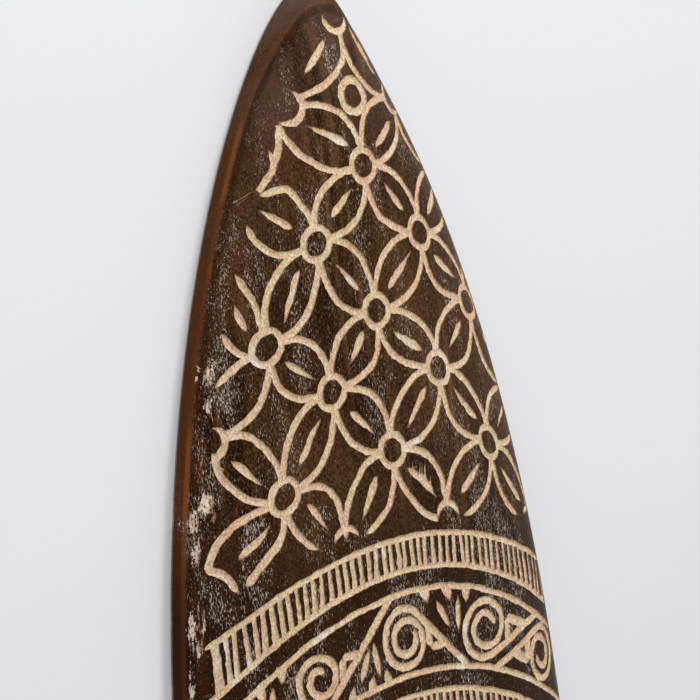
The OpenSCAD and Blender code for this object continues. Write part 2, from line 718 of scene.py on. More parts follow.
@dataclass(frozen=True)
class FlowerLattice:
    """Overlapping rounds that make four-petalled flowers.

    Each flower has a ring at its heart and a seed in each petal. The strays are the hearts that the hand has
    set off their places: column, row, and how far across and along. The bare petals have no seed, the plain
    hearts no ring, and the dropped quarters are not cut.
    """

    layout: Layout
    keep: Region
    columns: range
    rows: range
    strays: tuple[Stray, ...] = ()
    bare: tuple[Point, ...] = ()
    plain: tuple[tuple[int, int], ...] = ()
    dropped: tuple[tuple[int, int, int], ...] = ()
    pitch: float = 20.0
    first_column: float = -37.1
    first_row: float = 129.4
    bow: float = 0.0036
    give: float = 0.75           # how gradually the rounds follow a heart that is off its place
    squareness: float = 2.45
    ring: float = 4.45
    ring_width: float = 2.35
    ring_depth: float = 0.72
    arc_width: float = 2.26
    arc_fade: float = 3.0        # length of a quarter's rise where its heart has no ring
    seed_length: float = 12.6
    seed_width: float = 2.5
    seed_slant: float = 11.0     # degrees by which a seed may be off its petal's middle line
    seed_shift: float = 0.03     # and by how much of the pitch it may be off its middle
    cut_fade: float = 4.5        # length of a groove's rise where the region's edge cuts it off
    shortest: float = 3.5        # a stretch under this length isn't cut

    def spots(self, odd: int) -> list[tuple[int, int]]:
        """The hearts, as pairs of column and row, or the middles of the rounds if odd is 1."""
        return [(column, row) for column in self.columns for row in self.rows if (column + row) % 2 == odd]

    def place(self, column: float, row: float) -> Point:
        """Place of a lattice position, in the wing's axes.

        Args:
            column: Its column, counted towards the inner edge.
            row: Its row, counted towards the tip.

        Returns:
            Its distance across and its distance from the tip.
        """
        across = self.first_column + column * self.pitch
        along = self.first_row - row * self.pitch + self.bow * across * across
        for stray_column, stray_row, right, down in self.strays:
            away = math.dist((column, row), (stray_column, stray_row))
            near = max(0.0, min(1.0, (1 - away) / self.give))
            share = near * near * (3 - 2 * near)
            across += share * right
            along += share * down
        return across, along

    def laid(self, path: Path, width: float, fades: Point = (0.0, 0.0), closed: bool = False) -> list[Cut]:
        """The cuts for a path given in lattice units, less what falls outside the pattern's region.

        Args:
            path: The path, in columns and rows.
            width: Width of the groove.
            fades: How long the groove takes to rise at its start and at its end.
            closed: Whether the path is a loop.

        Returns:
            One cut for each stretch that is left.
        """
        places = self.layout.to_plan([self.place(column, row) for column, row in path])
        if closed:
            inside = [self.keep(x, y) for x, y in places]
            if min(inside) > 0:
                return [Cut(places[:-1], width, self.ring_depth, closed=True)]
            first = inside.index(min(inside))
            places = places[first:-1] + places[:first + 1]
        whole = Cut(places, width, fade_in=fades[0], fade_out=fades[1])
        return [cut for cut in trimmed(whole, self.keep, self.cut_fade) if cut.length >= self.shortest]

    def ringed(self, column: int, row: int) -> bool:
        """Whether a heart keeps half of its ring or more.

        Args:
            column: The heart's column.
            row: The heart's row.

        Returns:
            Whether it does: a plain heart never does.
        """
        if (column, row) in self.plain:
            return False
        steps = 12
        ring = self.layout.to_plan(arc(self.place(column, row), self.ring, 0, 360, steps))
        return sum(self.keep(x, y) > 0 for x, y in ring) >= steps / 2

    def squared(self, value: float) -> float:
        """One coordinate on a round, which is a little squarer than a circle, from the circle's own."""
        return math.copysign(abs(value) ** (2 / self.squareness), value)

    def quarter(self, column: int, row: int, quarter: int) -> list[Cut]:
        """One quarter of a round, which stops at its hearts' rings.

        Args:
            column: Column of the round's middle.
            row: Row of the round's middle.
            quarter: Which quarter, from 0 to 3: the first one starts towards the next column.

        Returns:
            The cuts, or none if neither heart has a ring.
        """
        steps = ((1, 0), (0, 1), (-1, 0), (0, -1))
        ringed = []
        for corner in (quarter, quarter + 1):
            right, up = steps[corner % 4]
            ringed.append(self.ringed(column + right, row + up))
        if not any(ringed):
            return []
        gap = math.degrees(math.asin((self.ring / self.pitch) ** (self.squareness / 2)))
        start = 90 * quarter + (gap if ringed[0] else 0)
        end = 90 * (quarter + 1) - (gap if ringed[1] else 0)
        path = []
        for right, up in arc((0, 0), 1.0, start, end, 24):
            path.append((column + self.squared(right), row + self.squared(up)))
        fades = (0.0 if ringed[0] else self.arc_fade, 0.0 if ringed[1] else self.arc_fade)
        return self.laid(path, self.arc_width, fades)

    def petals(self) -> list[Cut]:
        """The rounds, quarter by quarter."""
        quarters = [(*spot, quarter) for spot in self.spots(1) for quarter in range(4)]
        return [cut for each in quarters if each not in self.dropped for cut in self.quarter(*each)]

    def hearts(self) -> list[Cut]:
        """The rings at the flowers' hearts."""
        loops = [arc(spot, self.ring / self.pitch, 0, 360, 30) for spot in self.spots(0)
                 if spot not in self.plain]
        return [cut for loop in loops for cut in self.laid(loop, self.ring_width, closed=True)]

    def seeds(self, hand: Hand) -> list[Cut]:
        """The spindles inside the petals, each a little off its true length and slant.

        Args:
            hand: Source of the differences.

        Returns:
            The cuts.
        """
        cuts = []
        for column, row in self.spots(0):
            for rise in (1, -1):
                half = self.seed_length * hand.uniform(0.44, 0.56) / self.pitch
                slant = math.radians(45 * rise + hand.uniform(-self.seed_slant, self.seed_slant))
                shift = hand.uniform(-self.seed_shift, self.seed_shift)
                if (column + 0.5, row + 0.5 * rise) in self.bare:
                    continue
                middle = (column + 0.5 + shift, row + 0.5 * rise + shift)
                reach = (half * math.cos(slant), half * math.sin(slant))
                path = line((middle[0] - reach[0], middle[1] - reach[1]),
                            (middle[0] + reach[0], middle[1] + reach[1]))
                width = self.seed_width * hand.uniform(0.88, 1.14)
                blunt = half * self.pitch * hand.choice((0.55, 1.45))
                for cut in self.laid(path, width, (blunt, 2 * half * self.pitch - blunt)):
                    if len(cut.path) > len(path) // 2:
                        cuts.append(cut)
        return cuts

    def cuts(self, hand: Hand) -> list[Cut]:
        """All of the lattice's grooves."""
        return self.hearts() + self.petals() + self.seeds(hand)


@dataclass(frozen=True)
class HatchBand:
    """A band of close strokes between two border lines."""

    layout: Layout
    outer: Rule
    inner: Rule
    pitch: float = 2.7
    stroke: float = 1.82
    depth: float = 0.65
    border: float = 1.9
    lean: float = -0.2
    looseness: float = 1.02
    crowding: float = 0.12       # share by which the strokes draw together
    crowd_start: float = 26.0    # from here
    crowd_reach: float = 40.0    # over this distance towards the inner edge
    bold_end: float = -60.0      # nearer to the outer edge than this, the strokes are bolder
    boldness: float = 1.45

    def cuts(self, hand: Hand) -> list[Cut]:
        """The band's borders and its strokes.

        Args:
            hand: Source of small differences.

        Returns:
            The cuts.
        """
        found = self.layout.rules((self.outer, self.inner), self.border)
        across = -self.layout.form.half
        while across < self.layout.form.half:
            slant = hand.uniform(-0.5, 0.45) + self.lean
            path = self.layout.lined((across, self.outer.along(across)),
                                     (across + slant, self.inner.along(across + slant)), 6)
            size = self.looseness - self.crowding * max(0.0, (across - self.crowd_start) / self.crowd_reach)
            if self.layout.clear(path):
                bold = self.boldness if across < self.bold_end else 1
                width = self.stroke * size * hand.uniform(0.84, 1.12) * bold
                found.append(Cut(path, width, self.depth, Tool.PARTING, spread=hand.uniform(0.1, 0.5)))
            across += self.pitch * size * hand.uniform(0.88, 1.12)
        return found


@dataclass(frozen=True)
class Scroll:
    """One curl of the scroll band.

    Its stem springs from a border to the curl's right or left (feed +1 or -1), and passes over the curl on
    the side towards the tip (pass_side -1) or the elbow (+1).
    """

    across: float
    feed: int
    pass_side: int
    radius: float = 8.6
    foot: float = 25.0       # from its middle to its stem's foot, across the blade
    shift: float = 0.0       # how far it is off the band's middle, away from the tip
    turns: float = 1.74
    squeeze: float = 1.0     # its width across the blade, as a share of its height
    filled: float = 1.0      # width of its spandrel's strokes, as a share of the usual one


@dataclass(frozen=True)
class ScrollBand:
    """Curls between two border lines, with leaves and teeth in the gaps.

    Each tuft is how far across it stands, on which border (side -1 is the tip's and +1 the elbow's), and
    how widely it is spread. Each of its leaves is an offset, a lean, an inset from the border and a length,
    and each of its teeth an offset and a lean.
    """

    layout: Layout
    outer: Rule
    inner: Rule
    scrolls: tuple[Scroll, ...]
    tufts: tuple[tuple[float, int, float], ...]
    leaves: tuple[tuple[float, float, float, float], ...] = ((-4.4, 4.4, 3.6, 9.2), (4.6, -1.4, 2.6, 10.6))
    teeth: tuple[Point, ...] = ((-9.0, 1.2), (0.0, 1.2), (8.4, -0.8))
    width: float = 2.5
    border: float = 2.0
    tail: float = 1.2            # length of a curl's rise at its inner end
    drop: float = 3.7            # how much smaller a curl's radius gets
    drop_start: float = 0.7      # in turns from its stem
    drop_turns: float = 0.46
    spandrel: float = 6.6
    spandrel_reach: float = 9.0
    spandrel_gap: float = 1.9
    spandrel_lean: float = 0.3
    spandrel_width: float = 2.3
    spandrel_fade: float = 1.5
    tooth_length: float = 5.0
    tooth_width: float = 4.2
    tooth_depth: float = 0.8
    tooth_fade: float = 5.2
    overlap: float = 0.4         # how far a tooth reaches into its border line

    def middle(self, across: float) -> float:
        """Distance from the tip of the band's middle."""
        return (self.outer.along(across) + self.inner.along(across)) / 2

    def half_height(self, across: float) -> float:
        """Half the band's height."""
        return (self.inner.along(across) - self.outer.along(across)) / 2

    def winding(self, scroll: Scroll, start: float) -> Path:
        """The winding part of a curl, in its own axes.

        Args:
            scroll: The curl.
            start: Direction from its middle in which it leaves its stem, in radians.

        Returns:
            The path, from the stem inwards.
        """
        steps = 56
        path = []
        for i in range(1, steps + 1):
            turned = scroll.turns * i / steps
            share = min(1.0, max(0.0, (turned - self.drop_start) / self.drop_turns))
            radius = scroll.radius - self.drop * share * share * (3 - 2 * share)
            turn = start + 2 * math.pi * turned
            path.append((radius * math.cos(turn), radius * math.sin(turn)))
        return path

    def spandrel_sides(self, scroll: Scroll, foot: Point, touch: Point) -> list[Path]:
        """The two strokes of the small spandrel between a curl and its stem, in the curl's own axes.

        Args:
            scroll: The curl.
            foot: Where the stem springs from the border.
            touch: Where it meets the curl.

        Returns:
            The strokes, each from the spandrel's corner.
        """
        fall = (touch[1] - foot[1]) / (touch[0] - foot[0])
        right = scroll.radius + self.spandrel_gap
        low = foot[1] + fall * (right - foot[0])
        corner = (right, low - self.spandrel)
        far = right + min(self.spandrel / abs(fall), self.spandrel_reach)
        ends = ((right - self.spandrel_lean, low), (far, low + fall * (far - right)))
        return [line(corner, end, 6) for end in ends]

    def curl(self, scroll: Scroll) -> list[Cut]:
        """One curl with its stem, and the small spandrel between them.

        Args:
            scroll: The curl.

        Returns:
            The cuts, in plan positions.
        """
        foot_across = scroll.across + scroll.feed * scroll.foot
        middle = self.middle(scroll.across) + scroll.shift
        rise = (self.middle(foot_across) - middle) * scroll.pass_side - self.half_height(foot_across)
        foot = (scroll.foot / scroll.squeeze, rise)
        start = math.atan2(foot[1], foot[0]) + math.acos(scroll.radius / math.hypot(*foot))
        touch = (scroll.radius * math.cos(start), scroll.radius * math.sin(start))

        def place(right: float, down: float) -> Point:
            """From the curl's own axes, with its feed at the right and passing below, to the wing's."""
            return scroll.across + scroll.feed * scroll.squeeze * right, middle + scroll.pass_side * down

        strokes = [(line(foot, touch, 10) + self.winding(scroll, start), self.width, 0.0, self.tail)]
        for side in self.spandrel_sides(scroll, foot, touch):
            strokes.append((side, self.spandrel_width * scroll.filled, self.spandrel_fade, 0.0))
        found = []
        for path, width, fade_in, fade_out in strokes:
            plan = self.layout.to_plan([place(*point) for point in path])
            found += self.layout.trim(Cut(plan, width, fade_in=fade_in, fade_out=fade_out))
        return [cut for cut in found if len(cut.path) > 2]

    def tuft(self, across: float, side: int, spread: float) -> list[Cut]:
        """The leaves and teeth at one place on a border.

        Args:
            across: Distance across the blade.
            side: Which border: -1 is the tip's, and +1 is the elbow's.
            spread: How widely they are spread.

        Returns:
            The cuts that clear the plain border.
        """
        rule = self.outer if side < 0 else self.inner
        found = []
        for offset, lean, inset, length in self.leaves:
            base = across + offset * spread
            start = (base, rule.along(base) - side * inset)
            path = self.layout.lined(start, (base + lean, start[1] - side * length))
            found.append(Cut(path, self.width, fade_in=length / 2, fade_out=length / 2))
        for offset, lean in self.teeth:
            base = across + offset * spread
            start = (base, rule.along(base) + side * self.overlap)
            path = self.layout.lined(start, (base + lean, start[1] - side * self.tooth_length))
            found.append(Cut(path, self.tooth_width * spread, self.tooth_depth, Tool.PARTING,
                             fade_out=self.tooth_fade))
        return [cut for cut in found if self.layout.clear(cut.path, 0.5)]

    def cuts(self) -> list[Cut]:
        """All of the band's grooves.

        Returns:
            Their cuts.
        """
        found = self.layout.rules((self.outer, self.inner), self.border)
        for scroll in self.scrolls:
            found += self.curl(scroll)
        for across, side, spread in self.tufts:
            found += self.tuft(across, side, spread)
        return found


@dataclass(frozen=True)
class Medallion:
    """The round flower at the middle of the elbow: eight petals in a hatched ring, with leaves all round."""

    form: BladeForm
    heart: float = 5.0
    petals: int = 8
    petal_reach: float = 33.0
    petal_half: float = 20.0         # degrees from a petal's middle line to its side, where it is widest
    petal_gap: float = 1.0           # degrees between its sides and that line at both ends
    petal_shape: float = 0.8         # under 1, it is widest nearer to the heart
    seed: Point = (15.0, 26.0)       # where the leaf in a petal starts and ends
    seed_width: float = 2.7
    sprig: Point = (29.0, 36.0)      # and the one between two petals
    sprig_width: float = 2.5
    ring: Point = (38.0, 46.5)
    ring_width: float = 2.4
    hatches: int = 84
    hatch_width: float = 1.95
    hatch_depth: float = 0.65
    leaves: int = 28
    leaf_width: float = 3.2
    leaf_depth: float = 0.85
    leaf_foot: float = 50.5
    leaf_reach: float = 63.0
    short: float = 4.0               # how much shorter every second leaf is

    @property
    def centre(self) -> Point:
        """The middle of the elbow, on the centre line."""
        return 0.0, self.form.bend_centre.y + self.form.elbow_radius

    def polar(self, turn: float, radius: float) -> Point:
        """Plan position from an angle in degrees, clockwise from the elbow's outer side, and a distance."""
        angle = math.radians(turn)
        return self.centre[0] + radius * math.sin(angle), self.centre[1] + radius * math.cos(angle)

    def spoke(self, turn: float, ends: Point, steps: int) -> Path:
        """Plan positions along a straight line out from the centre."""
        return [self.polar(turn, ends[0] + (ends[1] - ends[0]) * i / steps) for i in range(steps + 1)]

    def leaf(self, turn: float, ends: Point, steps: int, width: float, depth: float = 0.75) -> Cut:
        """A leaf that points out from the centre, from one distance to another."""
        half = (ends[1] - ends[0]) / 2
        return Cut(self.spoke(turn, ends, steps), width, depth, fade_in=half, fade_out=half)

    def petal(self, turn: float, hand: Hand) -> list[Cut]:
        """One petal, the leaf inside it and the one between it and the next petal.

        Args:
            turn: Its direction, in degrees.
            hand: Source of small differences.

        Returns:
            The cuts.
        """
        steps = 14
        found = []
        for side in (-1, 1):
            path = []
            for i in range(steps + 1):
                share = i / steps
                off = self.petal_half * math.sin(math.pi * share ** self.petal_shape) + self.petal_gap
                radius = self.heart + (self.petal_reach - self.heart) * share
                path.append(self.polar(turn + side * off, radius))
            found.append(Cut(path, self.ring_width, fade_in=1, fade_out=1))
        found.append(self.leaf(turn, self.seed, 6, self.seed_width * hand.uniform(0.9, 1.1)))
        found.append(self.leaf(turn + 180 / self.petals, self.sprig, 5, self.sprig_width))
        return found

    def cuts(self, hand: Hand) -> list[Cut]:
        """All of the medallion's grooves.

        Args:
            hand: Source of small differences.

        Returns:
            The cuts.
        """
        found = []
        for radius in (self.heart, *self.ring):
            loop = [self.polar(3 * i, radius) for i in range(120)]
            found.append(Cut(loop, self.ring_width, closed=True))
        for petal in range(self.petals):
            found += self.petal(360 * petal / self.petals, hand)
        for hatch in range(self.hatches):
            path = self.spoke(360 * (hatch + hand.uniform(-0.12, 0.12)) / self.hatches, self.ring, 5)
            width = self.hatch_width * hand.uniform(0.88, 1.08)
            found.append(Cut(path, width, self.hatch_depth, Tool.PARTING, spread=0.25))
        for number in range(self.leaves):
            turn = 360 * (number + 0.5 + hand.uniform(-0.05, 0.05)) / self.leaves
            reach = self.leaf_reach if number % 2 else self.leaf_reach - self.short
            width = self.leaf_width * hand.uniform(0.9, 1.1)
            found.append(self.leaf(turn, (self.leaf_foot, reach), 8, width, self.leaf_depth))
        return found


@dataclass(frozen=True)
class Flakes:
    """Places along the outer shoulder where the dark skin has flaked off in slivers, and scratches.

    Each patch is its middle across and along, its half width and half length, and how many slivers it has.
    """

    layout: Layout
    patches: tuple[Patch, ...]
    scratches: tuple[tuple[Point, Point], ...] = ()
    depth: float = 0.2
    scratch: float = 0.4
    skew: float = 0.12           # how far a patch follows the edge, which slants across the grain

    def sliver(self, patch: Patch, hand: Hand) -> Cut:
        """One sliver, somewhere in a patch, along the grain.

        Args:
            patch: The patch.
            hand: Source of its place and size.

        Returns:
            The cut.
        """
        across, along, half_width, half_length, _ = patch
        turn, out = hand.uniform(0, math.tau), math.sqrt(hand.random())
        skewed = self.skew * half_length * out * math.sin(turn)
        middle = (across + half_width * out * math.cos(turn) - skewed,
                  along + half_length * out * math.sin(turn))
        length = half_length * hand.uniform(0.1, 0.45)
        lean = hand.uniform(-0.2, 0.05) * length
        path = self.layout.lined((middle[0] - lean / 2, middle[1] - length / 2),
                                 (middle[0] + lean / 2, middle[1] + length / 2), 4)
        width = hand.uniform(0.3, 0.75)
        return Cut(path, width, self.depth, Tool.PARTING, fade_in=width, fade_out=width)

    def cuts(self, hand: Hand) -> list[Cut]:
        """The slivers and scratches, as shallow cuts.

        Args:
            hand: Source of the slivers' places and sizes.

        Returns:
            The cuts.
        """
        found = [self.sliver(patch, hand) for patch in self.patches for _ in range(patch[-1])]
        for start, end in self.scratches:
            found.append(Cut(self.layout.lined(start, end), self.scratch, self.depth, fade_in=2, fade_out=3))
        return found


@dataclass(frozen=True)
class Carving:
    """Everything that is carved into the face, from one tip to the other.

    The right-hand wing's carving is listed one by one: its strays, bare petals, plain hearts and dropped
    quarters are those of its first lattice, as FlowerLattice has them, and its strokes are free ones.
    """

    form: BladeForm
    seed: int = 11
    columns: range = range(-3, 8)
    tip_rows: range = range(-1, 8)
    elbow_rows: range = range(-3, 8)
    elbow_first_row: float = 353.0
    elbow_start: float = 38.0    # from the blade's middle plane to the second lattice
    clearance: float = 4.0       # from the second hatched band to it
    round_clearance: float = 3.0 # and from the round flower
    tip_start: float = 6.8
    tip_end: Rule = Rule(151.0, 0.0022, 0.03)
    strays: tuple[Stray, ...] = (
        (2, 6, -0.2, -1.8), (1, 5, -0.9, 0.5), (2, 4, 0.9, 0.1), (0, 4, 6.6, -0.7), (1, 3, 0.7, -1.8),
        (3, 3, 0.9, -0.3), (3, 5, 0.3, 1.0), (0, 2, 1.0, 0.0), (2, 2, -1.2, 0.5), (4, 2, 1.0, -2.0),
        (-1, 1, 1.3, -2.8), (1, 1, -0.6, -0.8), (3, 1, 1.1, -1.4), (0, 0, 0.0, 1.0), (2, 0, -1.4, 0.0),
        (4, 0, 1.0, -0.8), (-1, -1, -2.5, -3.5), (1, -1, -1.7, 1.8), (3, -1, -1.9, 1.5))
    slip: float = 1.3            # how far the left-hand wing's hearts may stray
    bare: tuple[Point, ...] = ((-0.5, 1.5), (-0.5, 2.5), (0.5, 3.5), (1.5, 5.5), (2.5, 4.5), (2.5, 5.5))
    plain: tuple[tuple[int, int], ...] = ((0, 4), (-1, -1))
    dropped: tuple[tuple[int, int, int], ...] = (
        (1, 4, 2), (-1, 2, 0), (0, 3, 2), (-1, 0, 1), (-1, 0, 3), (0, -1, 1), (0, 5, 3), (2, 5, 2),
        (1, 6, 3), (3, 6, 2), (1, 4, 1), (-2, 1, 3), (0, 1, 2))
    strokes: tuple[Stroke, ...] = (
        Stroke(((3.0, 11.8), (3.2, 16.5), (2.0, 20.2), (-1.8, 23.9), (-7.0, 26.6), (-13.8, 28.5))),
        Stroke(((3.2, 11.8), (3.7, 17.0), (5.6, 21.8), (8.6, 25.8), (12.2, 29.4), (18.6, 32.0))),
        Stroke(((-21.3, 33.2), (-21.7, 37.5), (-23.2, 42.5), (-26.0, 47.5), (-30.6, 52.4)),
               fades=(2.0, 0.0)),
        Stroke(((-21.2, 35.0), (-20.2, 39.5), (-16.6, 44.3), (-11.0, 48.3), (-5.4, 50.0), (-0.8, 50.2))),
        Stroke(((-35.3, 59.6), (-34.6, 64.3), (-32.0, 68.0), (-27.6, 70.3), (-20.9, 70.0)),
               fades=(4.0, 0.0)),
        Stroke(((-41.0, 73.4), (-39.0, 78.4), (-37.2, 83.6), (-36.7, 89.6)), fades=(4.5, 0.0)),
        Stroke(((-47.3, 87.6), (-46.2, 91.6), (-43.6, 95.2), (-39.8, 96.6)), fades=(3.5, 0.0)),
        Stroke(((-42.2, 137.2), (-48.6, 138.8), (-54.2, 141.6), (-58.4, 145.6), (-60.9, 151.4)), 2.4),
        Stroke(((-37.9, 140.6), (-38.8, 144.4), (-41.4, 148.2), (-46.0, 152.0), (-51.8, 157.4)), 2.5,
               (0.0, 1.2)),
        Stroke(((-54.2, 120.4), (-54.5, 124.6), (-53.1, 128.7), (-50.0, 132.4), (-46.0, 135.2),
                (-41.4, 136.4)), 2.3),
        Stroke(((-61.6, 151.3), (-58.6, 152.4), (-56.0, 155.0), (-54.2, 159.3)), 2.6, (2.0, 4.0)),
        Stroke(((-31.7, 57.3), (-23.2, 63.7)), 2.4, (6.5, 3.0)),
        Stroke(((-42.6, 81.6), (-42.0, 85.8), (-40.7, 89.4)), 2.3, (4.0, 3.0)),
        Stroke(((-2.4, 13.6), (-11.4, 22.6)), 2.2, (4.0, 5.0)),
        Stroke(((18.8, 38.6), (9.2, 45.4)), 2.5, (3.0, 5.0)),
        Stroke(((8.2, 10.8), (10.2, 15.4), (13.2, 20.6), (16.9, 25.6)), 1.7, (3.0, 3.0)),
        Stroke(((10.8, 15.0), (14.8, 21.4)), 1.7, (3.0, 3.0)),
        Stroke(((10.6, 137.8), (13.1, 140.8), (15.7, 144.6)), 2.2, (2.0, 3.5)),
        Stroke(((8.3, 136.6), (8.5, 133.8)), 0.45, (0.0, 1.2), 0.3),
        Stroke(((10.95, 138.8), (11.4, 135.0)), 0.5, (0.0, 0.8), 0.35),
        Stroke(((11.75, 139.4), (12.2, 135.4)), 0.45, (0.0, 0.8), 0.35),
        Stroke(((12.8, 140.5), (13.3, 135.7)), 0.85, (0.0, 1.0), 0.4),
        Stroke(((14.8, 142.7), (15.1, 139.4)), 0.6, (0.0, 0.8), 0.35))
    tip_ring: Point = (2.045, 4.965)     # column and row of the lone ring behind the tip
    tip_ring_radius: float = 4.4
    tip_ring_width: float = 2.7
    first_hatch: tuple[Rule, Rule] = (Rule(154.7, 0.0045, 0.015), Rule(163.9, 0.0055, 0.005))
    scroll_rules: tuple[Rule, Rule] = (Rule(170.1, 0.0058), Rule(193.6, 0.0053, 0.01))
    second_hatch: tuple[Rule, Rule] = (Rule(199.8, 0.0053, 0.03), Rule(209.1, 0.0055, 0.03))
    scrolls: tuple[Scroll, ...] = (
        Scroll(-57.5, 1, -1, 7.2, foot=19.0, squeeze=0.9),
        Scroll(-33.3, 1, 1, 7.2, foot=27.5, shift=0.6, squeeze=0.92, filled=1.15),
        Scroll(-1.6, 1, -1, 8.4, foot=24.0, shift=0.8, turns=1.94, squeeze=0.91, filled=1.2),
        Scroll(31.2, 1, 1, 8.2, foot=27.0, shift=0.3, turns=1.78, squeeze=1.08, filled=1.35),
        Scroll(59.0, -1, -1, 7.8, foot=24.5, shift=0.2, turns=1.78, squeeze=0.8, filled=1.6))
    tufts: tuple[tuple[float, int, float], ...] = ((-52.1, -1, 0.9), (-15.9, 1, 0.8), (16.4, -1, 1.02))
    flaked: tuple[Patch, ...] = (
        (-52.6, 102.0, 2.2, 9.0, 22), (-58.4, 134.0, 2.6, 5.0, 26), (-61.8, 144.0, 0.8, 6.0, 9),
        (-65.2, 166.0, 1.7, 7.5, 26), (-68.0, 182.0, 0.7, 6.0, 6), (-31.4, 172.5, 0.4, 2.2, 4))
    scratches: tuple[tuple[Point, Point], ...] = (
        ((-37.8, 55.4), (-31.6, 52.2)), ((-36.4, 55.6), (-33.0, 53.4)), ((-38.2, 53.6), (-34.6, 52.4)))
    far_flaked: tuple[Patch, ...] = (
        (-36.5, 62.0, 1.4, 5.0, 12), (-57.5, 127.0, 1.8, 6.0, 26), (-65.6, 171.0, 1.4, 6.5, 24),
        (-69.4, 226.0, 1.2, 7.0, 18))

    @property
    def layout(self) -> Layout:
        """Where the patterns of a wing lie."""
        return Layout(self.form)

    @property
    def medallion(self) -> Medallion:
        """The round flower, which the elbow's lattice keeps clear of."""
        return Medallion(self.form)

    def slips(self, hand: Hand) -> tuple[Stray, ...]:
        """A set of strays by chance, for the places that no drawing fixes.

        Args:
            hand: Source of the chance.

        Returns:
            The strays.
        """
        slips = []
        for column in range(-1, 6):
            for row in range(-1, 7):
                if (column + row) % 2 == 0:
                    right = hand.uniform(-self.slip, self.slip)
                    slips.append((column, row, right, hand.uniform(-self.slip, self.slip)))
        return tuple(slips)

    def tip_lattice(self, slips: tuple[Stray, ...], by_hand: bool) -> FlowerLattice:
        """The lattice between the tip and the first band.

        Args:
            slips: Its strays, unless it is set out from the listed tables.
            by_hand: Whether it is.

        Returns:
            The lattice.
        """
        layout = self.layout

        def before_band(x: float, y: float) -> float:
            """How far a plan position lies inside the edges, past the tip and before the first band."""
            across, along = self.form.chart(x, y)
            return min(layout.margin(x, y), self.tip_end.along(across) - along, along - self.tip_start)

        set_out = (self.strays, self.bare, self.plain, self.dropped) if by_hand else (slips,)
        return FlowerLattice(layout, before_band, self.columns, self.tip_rows, *set_out)

    def elbow_lattice(self, slips: tuple[Stray, ...]) -> FlowerLattice:
        """The lattice between the second hatched band and the round flower.

        Args:
            slips: Its strays.

        Returns:
            The lattice.
        """
        layout, medallion = self.layout, self.medallion
        band_end = self.second_hatch[1]

        def round_elbow(x: float, y: float) -> float:
            """How far a plan position lies clear of everything else that is carved round the elbow.

            Args:
                x, y: The plan position.

            Returns:
                The distance to the nearest edge of the region.
            """
            across, along = self.form.chart(x, y)
            gap = math.dist((x, y), medallion.centre) - medallion.leaf_reach - self.round_clearance
            past = along - band_end.along(across) - self.clearance
            return min(layout.margin(x, y), gap, x - self.elbow_start, past)

        return FlowerLattice(layout, round_elbow, self.columns, self.elbow_rows, slips,
                             first_row=self.elbow_first_row, bow=0.0)

    def wing(self, hand: Hand, by_hand: bool) -> list[Cut]:
        """The grooves of the right-hand wing and its half of the elbow.

        Args:
            hand: Source of small differences.
            by_hand: Whether its lattice is set out from the listed tables and has the free strokes, or
                strays by chance.

        Returns:
            The cuts.
        """
        layout = self.layout
        tip_lattice = self.tip_lattice(self.slips(hand), by_hand)
        elbow_lattice = self.elbow_lattice(self.slips(hand))
        found = tip_lattice.cuts(hand)
        if by_hand:
            found += layout.strokes(self.strokes)
        tip_ring = arc(self.tip_ring, self.tip_ring_radius / tip_lattice.pitch, 0, 360, 30)
        found += tip_lattice.laid(tip_ring, self.tip_ring_width, closed=True)
        found += HatchBand(layout, *self.first_hatch).cuts(hand)
        found += ScrollBand(layout, *self.scroll_rules, self.scrolls, self.tufts).cuts()
        found += HatchBand(layout, *self.second_hatch).cuts(hand)
        return found + elbow_lattice.cuts(hand)

    def cuts(self) -> list[Cut]:
        """The whole face's grooves: the left-hand wing mirrors the right-hand one, by its own hand.

        Returns:
            The cuts, in plan positions.
        """
        found = self.wing(Hand(self.seed), True)
        found += Flakes(self.layout, self.flaked, self.scratches).cuts(Hand(self.seed + 4))
        far = self.wing(Hand(self.seed + 1), False)
        far += Flakes(self.layout, self.far_flaked).cuts(Hand(self.seed + 5))
        found += [replace(cut, path=[(-x, y) for x, y in cut.path]) for cut in far]
        return found + self.medallion.cuts(Hand(self.seed + 2))


# ------------------------------ finishes


class Nodes:
    """The shader nodes of a material or of the room's light."""

    def __init__(self, owner: bpy.types.Material | bpy.types.World) -> None:
        """Starts without any.

        Args:
            owner: What the nodes belong to.
        """
        owner.use_nodes = True
        self.tree = owner.node_tree
        self.tree.nodes.clear()

    def add(self, kind: str, **settings: object) -> bpy.types.Node:
        """A new node.

        Args:
            kind: The node's type.
            **settings: What is set on it.

        Returns:
            The node.
        """
        node = self.tree.nodes.new(kind)
        for name, value in settings.items():
            setattr(node, name, value)
        return node

    def put(self, socket: Socket, value: object) -> None:
        """Links a socket to another, or sets its value.

        Args:
            socket: The socket.
            value: The other socket, or the value.
        """
        if isinstance(value, Socket):
            self.tree.links.new(value, socket)
        else:
            socket.default_value = value

    def fill(self, node: bpy.types.Node, **values: object) -> None:
        """Links or sets several inputs of a node, with underscores for the spaces in their names."""
        for name, value in values.items():
            self.put(node.inputs[name.replace("_", " ")], value)

    def calculate(self, operation: str, first: Socket, second: Socket | float) -> Socket:
        """One sum on two values.

        Args:
            operation: Which sum.
            first: The first value.
            second: The second value.

        Returns:
            The result.
        """
        node = self.add("ShaderNodeMath", operation=operation)
        for socket, value in zip(node.inputs, (first, second)):
            self.put(socket, value)
        return node.outputs["Value"]


